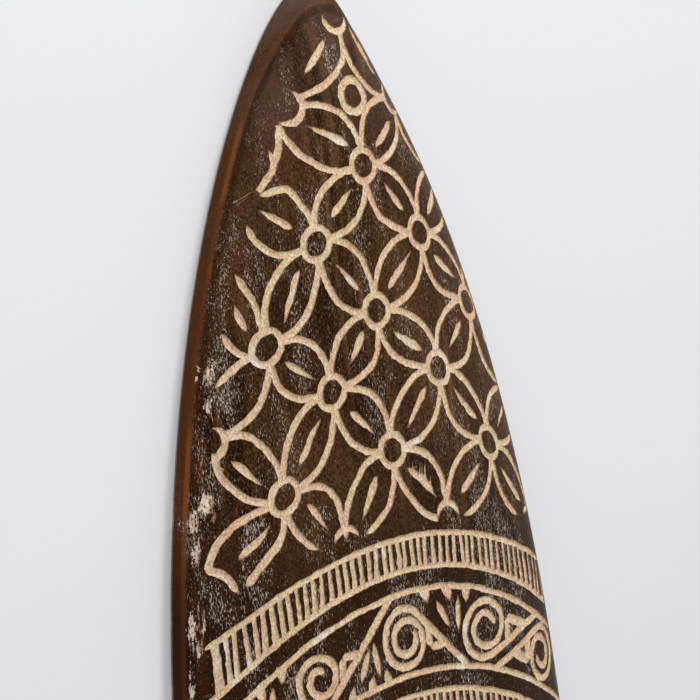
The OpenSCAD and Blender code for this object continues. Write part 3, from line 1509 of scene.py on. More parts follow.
class NodeSheet(Nodes):
    """A material and the shader nodes laid out on it."""

    def __init__(self, name: str, heading: float) -> None:
        """Starts an empty material with one principled shader.

        Args:
            name: The material's name.
            heading: The grain's plan direction, in radians from +X.
        """
        self.heading = heading
        self.material = bpy.data.materials.new(name)
        super().__init__(self.material)
        self.shader = self.add("ShaderNodeBsdfPrincipled")
        self.fill(self.add("ShaderNodeOutputMaterial"), Surface=self.shader.outputs["BSDF"])

    def along_grain(self, across: float, along: float) -> Socket:
        """The object's coordinates, turned so that Y runs along the grain, and scaled per metre.

        Args:
            across: Scale across the grain.
            along: Scale along the grain.

        Returns:
            The vector.
        """
        turned = self.add("ShaderNodeMapping", vector_type="POINT")
        self.fill(turned, Vector=self.add("ShaderNodeTexCoord").outputs["Object"],
                  Rotation=(0, 0, math.pi / 2 - self.heading))
        scaled = self.add("ShaderNodeMapping", vector_type="POINT")
        self.fill(scaled, Vector=turned.outputs["Vector"], Scale=(across, along, across))
        return scaled.outputs["Vector"]

    def grain(self, across: float, along: float, detail: float, roughness: float = 0.6,
              distortion: float = 0.0) -> Socket:
        """Soft noise, drawn out along the grain.

        Args:
            across: Cells per metre across the grain.
            along: Cells per metre along the grain.
            detail: How many finer layers it has.
            roughness: How strong those are.
            distortion: How far it is bent.

        Returns:
            The noise, mostly between 0.3 and 0.7.
        """
        node = self.add("ShaderNodeTexNoise")
        self.fill(node, Vector=self.along_grain(across, along), Scale=1.0, Detail=detail,
                  Roughness=roughness, Distortion=distortion)
        return node.outputs["Fac"]

    def window(self, value: Socket, low: float, high: float, to_low: float = 0.0,
               to_high: float = 1.0) -> Socket:
        """A value stretched from one range to another and clamped, with soft ends.

        Args:
            value: The value.
            low: Where the first range starts.
            high: Where it ends.
            to_low: What its start becomes.
            to_high: What its end becomes.

        Returns:
            The stretched value.
        """
        node = self.add("ShaderNodeMapRange", interpolation_type="SMOOTHSTEP")
        self.fill(node, Value=value, From_Min=low, From_Max=high, To_Min=to_low, To_Max=to_high)
        return node.outputs["Result"]

    def times(self, first: Socket, second: Socket | float) -> Socket:
        """Two values multiplied."""
        return self.calculate("MULTIPLY", first, second)

    def plus(self, first: Socket, second: Socket | float) -> Socket:
        """Two values added."""
        return self.calculate("ADD", first, second)

    def blend(self, factor: Socket, first: Socket | Colour, second: Socket | Colour) -> Socket:
        """Two colours mixed.

        Args:
            factor: Share of the second colour.
            first: The first colour.
            second: The second colour.

        Returns:
            The mixed colour.
        """
        node = self.add("ShaderNodeMix", data_type="RGBA")
        self.fill(node, Factor=factor, A=first, B=second)
        return [socket for socket in node.outputs if socket.type == "RGBA"][0]

    def attribute(self, name: str) -> Socket:
        """A number stored on the mesh's vertices."""
        return self.add("ShaderNodeAttribute", attribute_name=name).outputs["Fac"]

    def bump(self, height: Socket, strength: float, distance: float, over: Socket | None = None) -> Socket:
        """A bumped normal.

        Args:
            height: The height of the bumps.
            strength: How strongly they show.
            distance: How high they are, in metres.
            over: Another normal that they lie on.

        Returns:
            The normal.
        """
        node = self.add("ShaderNodeBump")
        self.fill(node, Strength=strength, Distance=distance, Height=height)
        if over is not None:
            self.fill(node, Normal=over)
        return node.outputs["Normal"]

    def finished(self, colour: Socket, roughness: Socket | float, normal: Socket | None = None,
                 gloss: float = 0.5) -> bpy.types.Material:
        """Joins the looks to the shader.

        Args:
            colour: The surface's colour.
            roughness: Its roughness.
            normal: Its bumped normal.
            gloss: How much it reflects, where 0.5 is usual.

        Returns:
            The finished material.
        """
        self.fill(self.shader, Base_Color=colour, Roughness=roughness, Specular_IOR_Level=gloss)
        if normal is not None:
            self.fill(self.shader, Normal=normal)
        return self.material


class FaceSheet(NodeSheet):
    """A sheet with the patterns and the vertices' numbers that several layers of the stained face share."""

    def __init__(self, name: str, heading: float) -> None:
        """Starts the material and lays out the patterns.

        Args:
            name: The material's name.
            heading: The grain's plan direction, in radians from +X.
        """
        super().__init__(name, heading)
        self.cloud = self.grain(38, 11, 4)
        self.streak = self.grain(230, 9, 3)
        self.fibre = self.grain(1150, 75, 2)
        self.nap = self.grain(2600, 1100, 2)
        self.climb = self.attribute("climb")
        self.ashen = self.attribute("ashen")
        self.pooled = self.attribute("pooled")


@dataclass(frozen=True)
class StainedFace:
    """Dark stain under thin wax on open-pored wood.

    It is redder on the flanks, worn through along their ridge with a painted edge highlight there, and
    flaked to the bare wood in places. Painted sheen and painted shade lie on the stain too.
    """

    name: str
    heading: float
    black: Colour = srgb(36, 19, 5)
    brown: Colour = srgb(71, 45, 22)
    tan: Colour = srgb(106, 74, 43)
    olive: Colour = srgb(84, 64, 28)
    red: Colour = srgb(112, 54, 19)
    wine: Colour = srgb(80, 42, 28)
    russet: Colour = srgb(86, 46, 14)
    # painted sheen: the grey that the tip's face is given
    sheen_grey: Colour = srgb(92, 68, 55)
    # worn stain with a painted edge highlight, lighter and orange along the ridge
    worn_edge_highlight: Colour = srgb(138, 82, 42)
    pore: Colour = srgb(16, 7, 2)
    # pale flecks: partly powder in the pores, partly painted glints of the wax
    dust_and_glint: Colour = srgb(220, 205, 191)
    bare: Colour = srgb(236, 216, 196)
    torn: Colour = srgb(186, 132, 96)

    def stained(self, sheet: FaceSheet) -> Socket:
        """The stain on sound wood.

        Args:
            sheet: Where the nodes go.

        Returns:
            The colour.
        """
        colour = sheet.blend(sheet.window(sheet.cloud, 0.36, 0.64), self.black, self.brown)
        colour = sheet.blend(sheet.window(sheet.streak, 0.5, 0.72, 0, 0.75), colour, self.tan)
        olive = sheet.times(sheet.window(sheet.streak, 0.46, 0.3), sheet.window(sheet.cloud, 0.45, 0.6))
        colour = sheet.blend(sheet.times(olive, 0.55), colour, self.olive)
        flank = sheet.plus(sheet.attribute("flank"), sheet.window(sheet.streak, 0.35, 0.65, -0.3, 0.3))
        reddened = sheet.blend(sheet.window(sheet.fibre, 0.3, 0.7), self.red, self.brown)
        colour = sheet.blend(sheet.window(flank, 0.35, 0.95, 0, 0.85), colour, reddened)
        blush = sheet.grain(95, 40, 3)
        colour = sheet.blend(sheet.window(blush, 0.52, 0.66, 0, 0.6), colour, self.wine)
        colour = sheet.blend(sheet.window(sheet.nap, 0.51, 0.63, 0, 0.75), colour, self.pore)
        return sheet.blend(sheet.window(sheet.nap, 0.47, 0.35, 0, 0.62), colour, self.tan)

    def edge_wear_and_painted_light(self, sheet: FaceSheet, colour: Socket) -> Socket:
        """What lies on the stain at the tip and the edges: a painted grey sheen at the tip, redder on the
        side wall, worn on the ridge under a painted edge highlight.

        Args:
            sheet: Where the nodes go.
            colour: The colour so far.

        Returns:
            The colour, darker again past the bands, with deeper stain and painted shade there, and in a
            painted shade line just above the ridge.
        """
        # painted sheen: greyer towards the tip
        painted_tip_sheen = sheet.times(sheet.window(sheet.cloud, 0.35, 0.6), sheet.ashen)
        colour = sheet.blend(painted_tip_sheen, colour, self.sheen_grey)
        wall = sheet.times(sheet.window(sheet.climb, 0.4, -0.8), sheet.window(sheet.ashen, 0.4, 0, 0.1, 0.7))
        colour = sheet.blend(wall, colour, self.russet)
        # the ridge above the side wall: worn stain and a painted edge highlight
        ridge = sheet.times(sheet.window(sheet.climb, -1.9, -0.7), sheet.window(sheet.climb, 1.1, 0.1))
        ridge = sheet.times(ridge, sheet.window(sheet.ashen, 0.55, 0.1, 0.15, 1))
        patchy = sheet.grain(60, 28, 3)
        ridge = sheet.times(ridge, sheet.window(patchy, 0.4, 0.6, 0.1, 0.7))
        colour = sheet.blend(ridge, colour, self.worn_edge_highlight)
        # painted shade and deeper stain: darker past the bands
        colour = sheet.blend(sheet.times(sheet.pooled, 0.72), colour, self.black)
        # painted shade: a dark line in the small cove just above the ridge
        painted_cove_shade = sheet.window(sheet.climb, 3.6, 1.9, 0, 0.6)
        painted_cove_shade = sheet.times(sheet.window(sheet.climb, 0.5, 1.3), painted_cove_shade)
        return sheet.blend(painted_cove_shade, colour, self.black)

    def dusted_and_glinting(self, sheet: FaceSheet, colour: Socket) -> Socket:
        """Pale flecks in the pores, partly powder and partly painted glints of the wax: thicker in patches,
        past the bands and in the painted sheen along the outer shoulder, and thin on the side wall.

        Args:
            sheet: Where the nodes go.
            colour: The colour so far.

        Returns:
            The colour.
        """
        # pale flecks, partly powder in the pores and partly painted glints of the wax
        flecks = sheet.grain(4300, 850, 2)
        dust_glint_patches = sheet.grain(130, 40, 3)
        sown = sheet.plus(flecks, sheet.window(dust_glint_patches, 0.4, 0.66, -0.1, 0.045))
        sown = sheet.plus(sown, sheet.times(sheet.pooled, 0.025))
        # painted sheen: the wax's highlight along the outer shoulder, painted as pale streaks along the
        # grain
        haze = sheet.times(sheet.attribute("haze"), sheet.window(sheet.fibre, 0.38, 0.56, 0.25, 0.62))
        sown = sheet.window(sheet.plus(sown, haze), 0.6, 0.7, 0, 0.64)
        sown = sheet.times(sown, sheet.window(sheet.climb, -0.4, 1.4, 0.08, 1))
        return sheet.blend(sown, colour, self.dust_and_glint)

    def build(self) -> bpy.types.Material:
        """Makes the material.

        Returns:
            The material, which reads the numbers that PlaceNotes has stored.
        """
        sheet = FaceSheet(self.name, self.heading)
        colour = self.dusted_and_glinting(sheet, self.edge_wear_and_painted_light(sheet, self.stained(sheet)))
        crumbs = sheet.grain(1500, 600, 4, 0.78)
        bare = sheet.window(sheet.plus(sheet.attribute("wear"), crumbs), 0.94, 1.0)
        wood = sheet.blend(sheet.window(sheet.fibre, 0.48, 0.74), self.bare, self.torn)
        colour = sheet.blend(bare, colour, wood)
        rough = sheet.plus(sheet.window(sheet.cloud, 0.3, 0.7, 0.26, 0.36), sheet.times(bare, 0.3))
        normal = sheet.bump(sheet.fibre, 0.35, 0.0004)
        normal = sheet.bump(sheet.nap, 0.5, 0.00035, normal)
        normal = sheet.bump(sheet.times(bare, -1), 0.6, 0.0003, normal)
        return sheet.finished(colour, rough, normal, 0.03)


@dataclass(frozen=True)
class CarvedWood:
    """Bare pale wood where the tools have been: darker and warmer up the groove walls, partly from stain
    that has crept in and partly painted shade.
    """

    name: str
    heading: float
    cream: Colour = srgb(224, 197, 161)
    pink: Colour = srgb(220, 184, 154)
    straw: Colour = srgb(215, 191, 146)
    orange: Colour = srgb(206, 154, 108)
    chalk: Colour = srgb(238, 228, 212)
    mauve: Colour = srgb(178, 136, 114)
    # stain and painted shade up the groove walls, and dark fibres
    stain_and_shade_brown: Colour = srgb(118, 76, 50)

    def build(self) -> bpy.types.Material:
        """Makes the material.

        Returns:
            The material, which reads how deep each vertex lies in its groove.
        """
        sheet = NodeSheet(self.name, self.heading)
        cloud = sheet.grain(55, 30, 3)
        patch = sheet.grain(90, 60, 2, 0.5, 0.4)
        hot = sheet.grain(130, 100, 1, 0.5)
        fibre = sheet.grain(1300, 90, 3, 0.65)
        speck = sheet.grain(2200, 1200, 2)
        colour = sheet.blend(sheet.window(cloud, 0.4, 0.62), self.cream, self.straw)
        colour = sheet.blend(sheet.window(patch, 0.5, 0.64), colour, self.pink)
        colour = sheet.blend(sheet.window(patch, 0.4, 0.3, 0, 0.75), colour, self.chalk)
        colour = sheet.blend(sheet.window(hot, 0.63, 0.74, 0, 0.6), colour, self.orange)
        colour = sheet.blend(sheet.window(fibre, 0.6, 0.35, 0, 0.22), colour, self.stain_and_shade_brown)
        colour = sheet.blend(sheet.window(speck, 0.52, 0.62, 0, 0.7), colour, self.mauve)
        colour = sheet.blend(sheet.window(speck, 0.47, 0.36, 0, 0.75), colour, self.chalk)
        edge = sheet.plus(sheet.attribute("depth"), sheet.window(fibre, 0.3, 0.7, -0.1, 0.1))
        # painted shade and stain: darker up the groove walls
        colour = sheet.blend(sheet.window(edge, 0.7, 0.2, 0, 0.92), colour, self.stain_and_shade_brown)
        return sheet.finished(colour, 0.75, sheet.bump(fibre, 0.5, 0.0003), 0.3)


@dataclass(frozen=True)
class PegEnd:
    """Bare turned hardwood, with the growth rings of its end grain."""

    name: str = "peg_wood"
    heading: float = 0.6
    light: Colour = srgb(206, 172, 124)
    dark: Colour = srgb(150, 108, 66)

    def build(self) -> bpy.types.Material:
        """Makes the material.

        Returns:
            The material.
        """
        sheet = NodeSheet(self.name, self.heading)
        rings = sheet.add("ShaderNodeTexWave", wave_type="BANDS", bands_direction="X", wave_profile="SAW")
        sheet.fill(rings, Vector=sheet.along_grain(1, 1), Scale=260, Distortion=1.5, Detail=2)
        speck = sheet.grain(2600, 2600, 2)
        colour = sheet.blend(rings.outputs["Fac"], self.light, self.dark)
        colour = sheet.blend(sheet.window(speck, 0.55, 0.68, 0, 0.6), colour, self.dark)
        return sheet.finished(colour, 0.6, sheet.bump(speck, 0.4, 0.0002))


# ------------------------------ the boards and their pegs


@dataclass(frozen=True)
class SoftPatches:
    """Soft patches, used for flaked stain and for painted sheen.

    Each patch is its middle, as a share of the half width and a distance from the tip, its half width and
    half length in the same measures, and how strong it is.
    """

    patches: tuple[tuple[float, float, float, float, float], ...]

    def at(self, share: float, along: float) -> float:
        """How strongly a place lies in the patches.

        Args:
            share: Distance across as a share of the half width.
            along: Distance from the tip.

        Returns:
            From 0, outside them, to the strongest patch's number.
        """
        most = 0.0
        for place, middle, width, length, strength in self.patches:
            off = ((share - place) / width) ** 2 + ((along - middle) / length) ** 2
            most = max(most, strength * math.exp(-off))
        return most


@dataclass(frozen=True)
class PlaceNotes:
    """What the finishes need to know about each place on a board, stored on its vertices."""

    form: BladeForm
    wear: SoftPatches
    # painted sheen: patches where the wax's highlight is painted into the face's colour
    haze: SoftPatches
    full_depth: float = 0.72     # of a groove's floor
    tip_end: float = 0.5         # nothing is told apart nearer to the tip
    flank_start: float = 0.93    # as a share of the half width
    flank_width: float = 0.07
    flank_height: float = 4.0    # above the top of the side wall
    tip_flank: float = 0.6       # how much of a flank the tip's face is
    tip_reach: float = 26.0
    # where the face turns darker past the bands: deeper stain and painted shade
    stain_shade_start: float = 135.0
    stain_shade_reach: float = 30.0
    tip_near_reach: float = 48.0

    def at(self, x: float, y: float, z: float) -> dict[str, float]:
        """The numbers of one place.

        Args:
            x, y: The plan position.
            z: Height above the back.

        Returns:
            The numbers, by name.
        """
        across, along = self.form.chart(x, y)
        along = max(along, self.tip_end)
        share = across / self.form.half_width(along)
        climb = z - self.form.wall_at(along)
        flank = max(0.0, (abs(share) - self.flank_start) / self.flank_width, 1 - climb / self.flank_height)
        tip = self.tip_flank * max(0.0, 1 - along / self.tip_reach)
        return {
            "depth": min(1.0, max(0.0, (self.form.height(x, y) - z) / self.full_depth)),
            "flank": min(1.0, max(flank, tip)),
            "wear": self.wear.at(share, along),
            "climb": climb,
            "haze": self.haze.at(share, along),
            # darker past the bands: deeper stain and painted shade
            "pooled": min(1.0, max(0.0, (along - self.stain_shade_start) / self.stain_shade_reach)),
            # nearness to the tip, which carries the painted grey sheen there
            "ashen": max(0.0, 1 - along / self.tip_near_reach)}

    def store(self, mesh: bpy.types.Mesh) -> None:
        """Stores the numbers of each vertex.

        Args:
            mesh: The board's mesh, in millimetres.
        """
        notes = [self.at(*vertex.co) for vertex in mesh.vertices]
        for name in notes[0]:
            numbers = mesh.attributes.new(name, "FLOAT", "POINT")
            numbers.data.foreach_set("value", [note[name] for note in notes])


@dataclass(frozen=True)
class Lap:
    """The half lap and its pegs, in millimetres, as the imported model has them."""

    form: BladeForm
    height: float = 11.4
    spare: float = 0.6
    run_out: float = 30.0        # how far the blank runs on past the bend before it is sawn
    below: float = -5.0          # the sawn blocks' own bottom and top, clear of the blade
    above: float = 50.0
    peg_radius: float = 5.05
    hole_depth: float = 15.6
    hole_spare: float = 2.0      # how far a hole's solid reaches below the back
    peg_places: tuple[Point, ...] = ((0, 0.42), (0, -0.56), (22, -0.4), (-22, -0.4))
    joint_width: float = 0.45
    joint_depth: float = 0.3
    joint_end: float = 1.0       # from the face's edge to the joint line's ends
    joint_fade: float = 2.0

    @property
    def half_angle(self) -> float:
        """Half the angle between the wings, in radians."""
        return math.radians(self.form.elbow_angle) / 2

    @property
    def plank_edge(self) -> float:
        """Distance from a wing's axis to its plank's inner edge."""
        inner = self.form.half - self.form.elbow_radius + (self.form.crossing - self.form.bend_centre).y
        return inner * math.sin(self.half_angle) + self.spare

    def block(self, side: Side, inside: bool, low: float, high: float) -> bmesh.types.BMesh:
        """A block that fills one side of a plank's inner edge.

        Args:
            side: Whose plank it is.
            inside: Whether the block lies within the plank's edge or beyond it.
            low: The block's bottom.
            high: The block's top.

        Returns:
            The block.
        """
        size = 1400.0
        bm = bmesh.new()
        bmesh.ops.create_cube(bm, size=size)
        bmesh.ops.scale(bm, vec=(1, 0.5, (high - low) / size), verts=bm.verts)
        shift = -self.plank_edge + size / 4 * (1 if inside else -1)
        bmesh.ops.translate(bm, vec=(0, shift, (low + high) / 2), verts=bm.verts)
        turn = side.value * (self.half_angle - math.pi / 2)
        bmesh.ops.rotate(bm, matrix=Matrix.Rotation(turn, 3, "Z"), verts=bm.verts)
        bmesh.ops.translate(bm, vec=(0, self.form.crossing.y, 0), verts=bm.verts)
        return bm

    def sawn(self, side: Side) -> tuple[bmesh.types.BMesh, bmesh.types.BMesh]:
        """What is sawn off a blank: all beyond its plank's edge, and its half of the lap.

        Args:
            side: Whose blank it is. The right-hand board keeps the lower half of the lap.

        Returns:
            The two blocks.
        """
        low, high = (self.height, self.above) if side is Side.RIGHT else (self.below, self.height)
        other = Side(-side.value)
        return self.block(side, False, self.below, self.above), self.block(other, True, low, high)

    def holes(self) -> bmesh.types.BMesh:
        """The pegs' blind holes.

        Returns:
            Their solids.
        """
        bm = bmesh.new()
        middle = self.hole_depth / 2 - self.hole_spare / 2
        for degrees, share in self.peg_places:
            out = self.form.elbow_radius - share * self.form.half
            turn = math.radians(degrees)
            place = (out * math.sin(turn), self.form.bend_centre.y + out * math.cos(turn), middle)
            bmesh.ops.create_cone(bm, cap_ends=True, segments=48, radius1=self.peg_radius,
                                  radius2=self.peg_radius, depth=self.hole_depth + self.hole_spare,
                                  matrix=Matrix.Translation(place))
        return bm

    def seam(self) -> Cut:
        """The fine joint line that shows on the face, where the left-hand board's edge meets the other.

        Returns:
            The cut.
        """
        inward = Vector((math.cos(self.half_angle), -math.sin(self.half_angle)))
        start = Vector((0.0, self.form.crossing.y)) + self.plank_edge * inward
        heading = Vector((math.sin(self.half_angle), math.cos(self.half_angle)))

        def on_face(x: float, y: float) -> float:
            """How far a plan position lies inside the right-hand half of the face.

            Args:
                x, y: The plan position.

            Returns:
                The distance to the blade's edge.
            """
            if x <= 0:
                return -1.0
            across, along = self.form.chart(x, y)
            return self.form.half_width(max(1, along)) - abs(across) - self.joint_end

        reach, step = 260, 4
        path = [tuple(start + heading * at) for at in range(-reach, reach + step, step)]
        fade = self.joint_fade
        joint = Cut(path, self.joint_width, self.joint_depth, Tool.PARTING, fade, fade)
        return max(trimmed(joint, on_face, fade), key=lambda cut: len(cut.path))


@dataclass(frozen=True)
class CarvedBoard:
    """One plank of the blade, from its blank to its carved and dressed face."""

    side: Side
    form: BladeForm
    lap: Lap
    carver: Carver
    notes: PlaceNotes
    seed: int
    facets: int = 64
    wing_rows: int = 96
    crowding: float = 1.5        # how much closer the rows stand at the tip
    row: float = 3.2
    nose_cut: float = 0.6
    hollows: float = 0.16        # depth of the slight hollows that a scraper leaves
    hollow_size: float = 17.0
    cove: float = 0.3            # depth of the small cove above the side wall
    cove_height: float = 2.3
    cove_width: float = 1.1
    snug: float = 0.999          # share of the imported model's width, so that nothing stands out of it
    crease: float = 33.0

    @property
    def name(self) -> str:
        """The side's name, as the names of the board's things have it."""
        return self.side.name.lower()

    @property
    def node(self) -> str:
        """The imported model's node that the board stands for."""
        return f"wing_{self.name}"

    def rows(self) -> list[float]:
        """Where the blank's sections stand.

        Returns:
            Their distances from this wing's tip.
        """
        form = self.form
        rows = [self.nose_cut + (form.wing_length - self.nose_cut) * (i / self.wing_rows) ** self.crowding
                for i in range(self.wing_rows + 1)]
        end = form.length - form.wing_length + self.lap.run_out
        extra = math.ceil((end - rows[-1]) / self.row)
        return rows + [form.wing_length + (end - form.wing_length) * i / extra for i in range(1, extra + 1)]

    def ring(self, place: float) -> list[Vector]:
        """One section of the blank.

        Args:
            place: Its distance from this wing's tip, which may lie beyond the elbow's middle.

        Returns:
            Its points, in millimetres.
        """
        form = self.form
        past = place > form.length / 2
        along = form.length - place if past else place
        wall = form.wall_at(along)
        ring = []
        for across, height in form.section(along, self.facets):
            cove = self.cove * math.exp(-((height - wall - self.cove_height) / self.cove_width) ** 2)
            x, y = form.plan(across * self.snug - math.copysign(cove, across), along)
            x = -x if past else x
            if height > wall:
                spot = Vector((x / self.hollow_size, y / self.hollow_size, self.seed))
                height -= self.hollows * (0.5 + 0.5 * noise.noise(spot))
            ring.append(Vector((self.side.value * x, y, height)))
        return ring

    def blank(self) -> bmesh.types.BMesh:
        """The domed blank of this wing and the elbow."""
        return wrap_grid([self.ring(place) for place in self.rows()])

    def finishes(self) -> tuple[bpy.types.Material, bpy.types.Material]:
        """The board's materials.

        Returns:
            The material of its face, and the one of its grooves.
        """
        heading = math.atan2(self.form.heading.y, self.side.value * self.form.heading.x)
        face = StainedFace(f"stained_face_{self.name}", heading).build()
        return face, CarvedWood(f"carved_wood_{self.name}", heading).build()

    def carve(self, cuts: list[Cut]) -> bpy.types.Mesh:
        """Saws the lap, drills the peg holes and carves the face of the blank.

        Args:
            cuts: The whole face's grooves.

        Returns:
            The board's mesh in millimetres, with its grooves in the second material.
        """
        blocks = (self.blank(), *self.lap.sawn(self.side), self.lap.holes())
        meshes = [stored(bm, "block") for bm in blocks]
        meshes += self.carver.passes([self.lap.seam()], self.seed, 0) + self.carver.passes(cuts, self.seed)
        finishes = self.finishes()
        for mesh in meshes:
            for finish in finishes:
                mesh.materials.append(finish)
        pieces = [placed(mesh.name, mesh) for mesh in meshes]
        board, operands = pieces[0], pieces[1:]
        for operand in operands:
            boolean = board.modifiers.new(operand.name, "BOOLEAN")
            boolean.operation = "DIFFERENCE"
            boolean.solver = "MANIFOLD"
            boolean.object = operand
        shown = board.evaluated_get(bpy.context.evaluated_depsgraph_get())
        carved = bpy.data.meshes.new_from_object(shown)
        for piece, mesh in zip(pieces, meshes):
            bpy.data.objects.remove(piece)
            bpy.data.meshes.remove(mesh)
        return carved

    def dress(self, mesh: bpy.types.Mesh) -> bpy.types.Object:
        """Gives the carved mesh its creases, its size in metres and its place.

        Args:
            mesh: The carved mesh, in millimetres.

        Returns:
            The finished piece.
        """
        self.notes.store(mesh)
        bm = bmesh.new()
        bm.from_mesh(mesh)
        bmesh.ops.dissolve_degenerate(bm, dist=1e-4, edges=bm.edges)
        bmesh.ops.triangulate(bm, faces=[face for face in bm.faces if len(face.verts) > 4])
        for face in bm.faces:
            face.smooth = True
        for edge in bm.edges:
            edge.smooth = edge.calc_face_angle(math.pi) < math.radians(self.crease)
        bmesh.ops.scale(bm, vec=(MM, MM, MM), verts=bm.verts)
        bm.to_mesh(mesh)
        bm.free()
        mesh.name = f"board_{self.name}"
        piece = placed(mesh.name, mesh)
        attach(piece, ROOT)
        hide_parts(self.node)
        return piece

    def build(self, cuts: list[Cut]) -> bpy.types.Object:
        """Makes the board, with the whole face's grooves that lie on it."""
        return self.dress(self.carve(cuts))


@dataclass(frozen=True)
class Pegs:
    """The four pegs that lock the lap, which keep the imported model's own shape."""

    nodes: tuple[str, ...] = ("peg_inner", "peg_outer", "peg_right", "peg_left")

    def dress(self) -> list[bpy.types.Object]:
        """Gives each peg its finish.

        Returns:
            The pegs.
        """
        finish = PegEnd().build()
        pegs = [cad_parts[name] for name in self.nodes]
        for peg in pegs:
            for peg_slot in peg.material_slots:
                peg_slot.link = "OBJECT"
                peg_slot.material = finish
        return pegs


WEAR = {
    Side.RIGHT: SoftPatches((
        (-0.965, 99, 0.04, 7, 0.52), (-0.96, 108, 0.035, 5, 0.51), (-0.95, 133.5, 0.05, 5, 0.6),
        (-0.985, 138, 0.024, 7, 0.57), (-0.975, 147, 0.022, 8, 0.54), (-0.985, 167, 0.015, 9, 0.58),
        (-0.953, 167, 0.012, 6, 0.57), (-0.968, 173, 0.02, 5, 0.53), (-0.988, 183, 0.014, 12, 0.53))),
    Side.LEFT: SoftPatches((
        (-0.96, 58, 0.04, 6, 0.5), (-0.95, 129, 0.045, 12, 0.52), (-0.97, 176, 0.04, 7, 0.52),
        (-0.965, 236, 0.03, 15, 0.5)))}
# painted sheen: patches where the wax's highlight is painted into the face's colour
PAINTED_SHEEN = SoftPatches((
    (-0.95, 76, 0.045, 20, 0.25), (-0.975, 120, 0.028, 11, 0.22), (-0.15, 17, 0.16, 6, 0.16),
    (-0.63, 74, 0.08, 5, 0.1), (-0.91, 158, 0.05, 8, 0.23), (-0.79, 159, 0.035, 5, 0.17),
    (-0.9, 106, 0.035, 6, 0.16), (-0.76, 142, 0.06, 4, 0.15), (-0.94, 205, 0.04, 22, 0.16)))
SEEDS = {Side.RIGHT: 3, Side.LEFT: 8}


# ------------------------------ the studio


@dataclass(frozen=True)
class Lamp:
    """A round area lamp that looks at the target. Its place is given in the wing's axes, in metres."""

    name: str
    across: float
    tipwards: float
    up: float
    size: float
    power: float


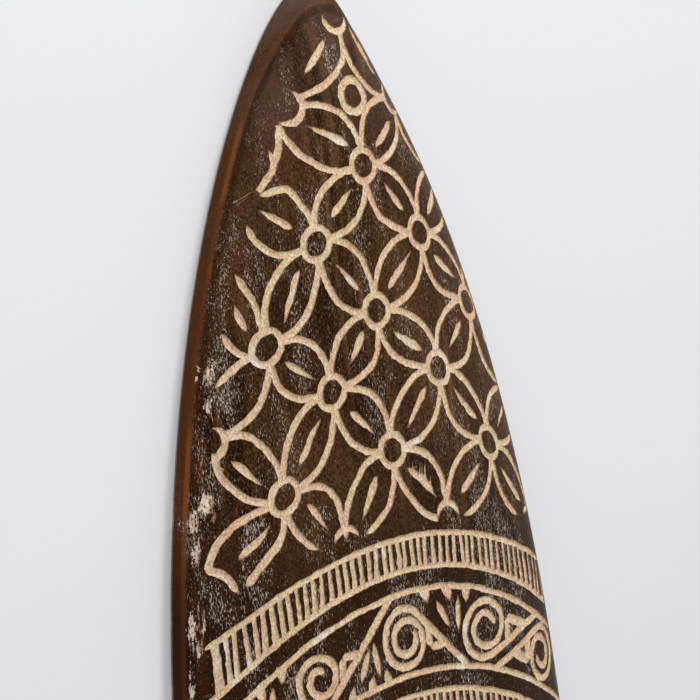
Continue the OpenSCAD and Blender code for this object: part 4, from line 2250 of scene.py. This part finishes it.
@dataclass(frozen=True)
class Studio:
    """A plain pale floor, soft lamps and the camera, placed from the right-hand wing."""

    form: BladeForm
    azimuth: float = 41.86
    elevation: float = 7.4
    roll: float = 5.94
    distance: float = 846.9
    aim: Point = (8.8, 102.85)
    lens: float = 152.4
    key: Lamp = Lamp("key", 0.42, 0.85, 0.95, 0.4, 7.4)      # beyond the wing's tip
    fill: Lamp = Lamp("fill", -0.28, 0.5, 0.95, 0.2, 3.9)    # over its outer edge
    room_strength: float = 0.42
    floor_size: float = 6.0
    floor_gap: float = 0.0002
    pale: Colour = srgb(236, 236, 238)
    shade: Colour = srgb(228, 229, 232)

    def wing_axes(self) -> Matrix:
        """The wing's axes as columns: across, towards the tip, and out of the face."""
        heading = self.form.heading
        return Matrix(((heading.y, heading.x, 0), (-heading.x, heading.y, 0), (0, 0, 1)))

    def target(self) -> Vector:
        """The point that the camera and the lamps look at, in metres."""
        x, y = self.form.wing_plan(*self.aim)
        return Vector((x, y, 0)) * MM

    def camera(self) -> None:
        """Sets up the camera."""
        azimuth, elevation = math.radians(self.azimuth), math.radians(self.elevation)
        back = Vector((-math.sin(azimuth) * math.cos(elevation), math.sin(elevation),
                       math.cos(azimuth) * math.cos(elevation)))
        right = Vector((0, 1, 0)).cross(back).normalized()
        level = Matrix((right, back.cross(right), back)).transposed()
        axes = self.wing_axes() @ (level @ Matrix.Rotation(-math.radians(self.roll), 3, "Z"))
        data = bpy.data.cameras.new("camera")
        data.lens = self.lens
        data.sensor_width = 36
        data.clip_start = 0.01
        data.clip_end = 50
        camera = placed("camera", data)
        place = self.target() + axes.col[2] * self.distance * MM
        camera.matrix_world = Matrix.Translation(place) @ axes.to_4x4()
        bpy.context.scene.camera = camera

    def light(self, lamp: Lamp) -> None:
        """Sets up one lamp.

        Args:
            lamp: The lamp.
        """
        data = bpy.data.lights.new(lamp.name, "AREA")
        data.shape = "DISK"
        data.size = lamp.size
        data.energy = lamp.power
        offset = self.wing_axes() @ Vector((lamp.across, lamp.tipwards, lamp.up))
        aimed = offset.to_track_quat("Z", "Y").to_matrix().to_4x4()
        placed(lamp.name, data).matrix_world = Matrix.Translation(self.target() + offset) @ aimed

    def room(self) -> None:
        """The room's own light, and the pale backdrop that the camera and mirrored rays see instead."""
        world = bpy.data.worlds.new("room")
        nodes = Nodes(world)
        light = nodes.add("ShaderNodeBackground")
        nodes.fill(light, Color=(1, 1, 1, 1), Strength=self.room_strength)
        backdrop = nodes.add("ShaderNodeBackground")
        nodes.fill(backdrop, Color=self.pale)
        rays = nodes.add("ShaderNodeLightPath").outputs
        seen = rays["Is Camera Ray"]
        for kind in ("Is Glossy Ray", "Is Transmission Ray"):
            seen = nodes.calculate("MAXIMUM", seen, rays[kind])
        mixed = nodes.add("ShaderNodeMixShader")
        for socket, value in zip(mixed.inputs, (seen, light.outputs[0], backdrop.outputs[0])):
            nodes.put(socket, value)
        nodes.fill(nodes.add("ShaderNodeOutputWorld"), Surface=mixed.outputs["Shader"])
        bpy.context.scene.world = world

    def floor(self) -> None:
        """The floor, just under the blade's back."""
        bm = bmesh.new()
        bmesh.ops.create_grid(bm, x_segments=1, y_segments=1, size=self.floor_size / 2)
        bmesh.ops.translate(bm, vec=(0, 0, -self.floor_gap), verts=bm.verts)
        mesh = stored(bm, "floor")
        sheet = NodeSheet("floor_paint", 0.3)
        colour = sheet.blend(sheet.grain(3, 3, 3, 0.5), self.pale, self.shade)
        mesh.materials.append(sheet.finished(colour, 0.85))
        floor = placed("floor", mesh)

    def build(self) -> None:
        """Sets up the floor, the lamps and the camera."""
        self.floor()
        self.light(self.key)
        self.light(self.fill)
        self.room()
        self.camera()
        bpy.context.scene.view_settings.view_transform = "Standard"


def main() -> None:
    """Builds the boomerang and the studio round it."""
    logging.basicConfig(level=logging.INFO, format="%(message)s")
    form = BladeForm()
    lap = Lap(form)
    carver = Carver(form)
    cuts = Carving(form).cuts()
    LOG.info("carving: %d grooves", len(cuts))
    for side in Side:
        notes = PlaceNotes(form, WEAR[side], PAINTED_SHEEN)
        board = CarvedBoard(side, form, lap, carver, notes, SEEDS[side]).build(cuts)
        triangles = sum(len(face.vertices) - 2 for face in board.data.polygons)
        LOG.info("%s: %d triangles", board.name, triangles)
    for peg in Pegs().dress():
        LOG.info("%s: dressed", peg.name)
    Studio(form).build()


if __name__ == "__main__":
    main()
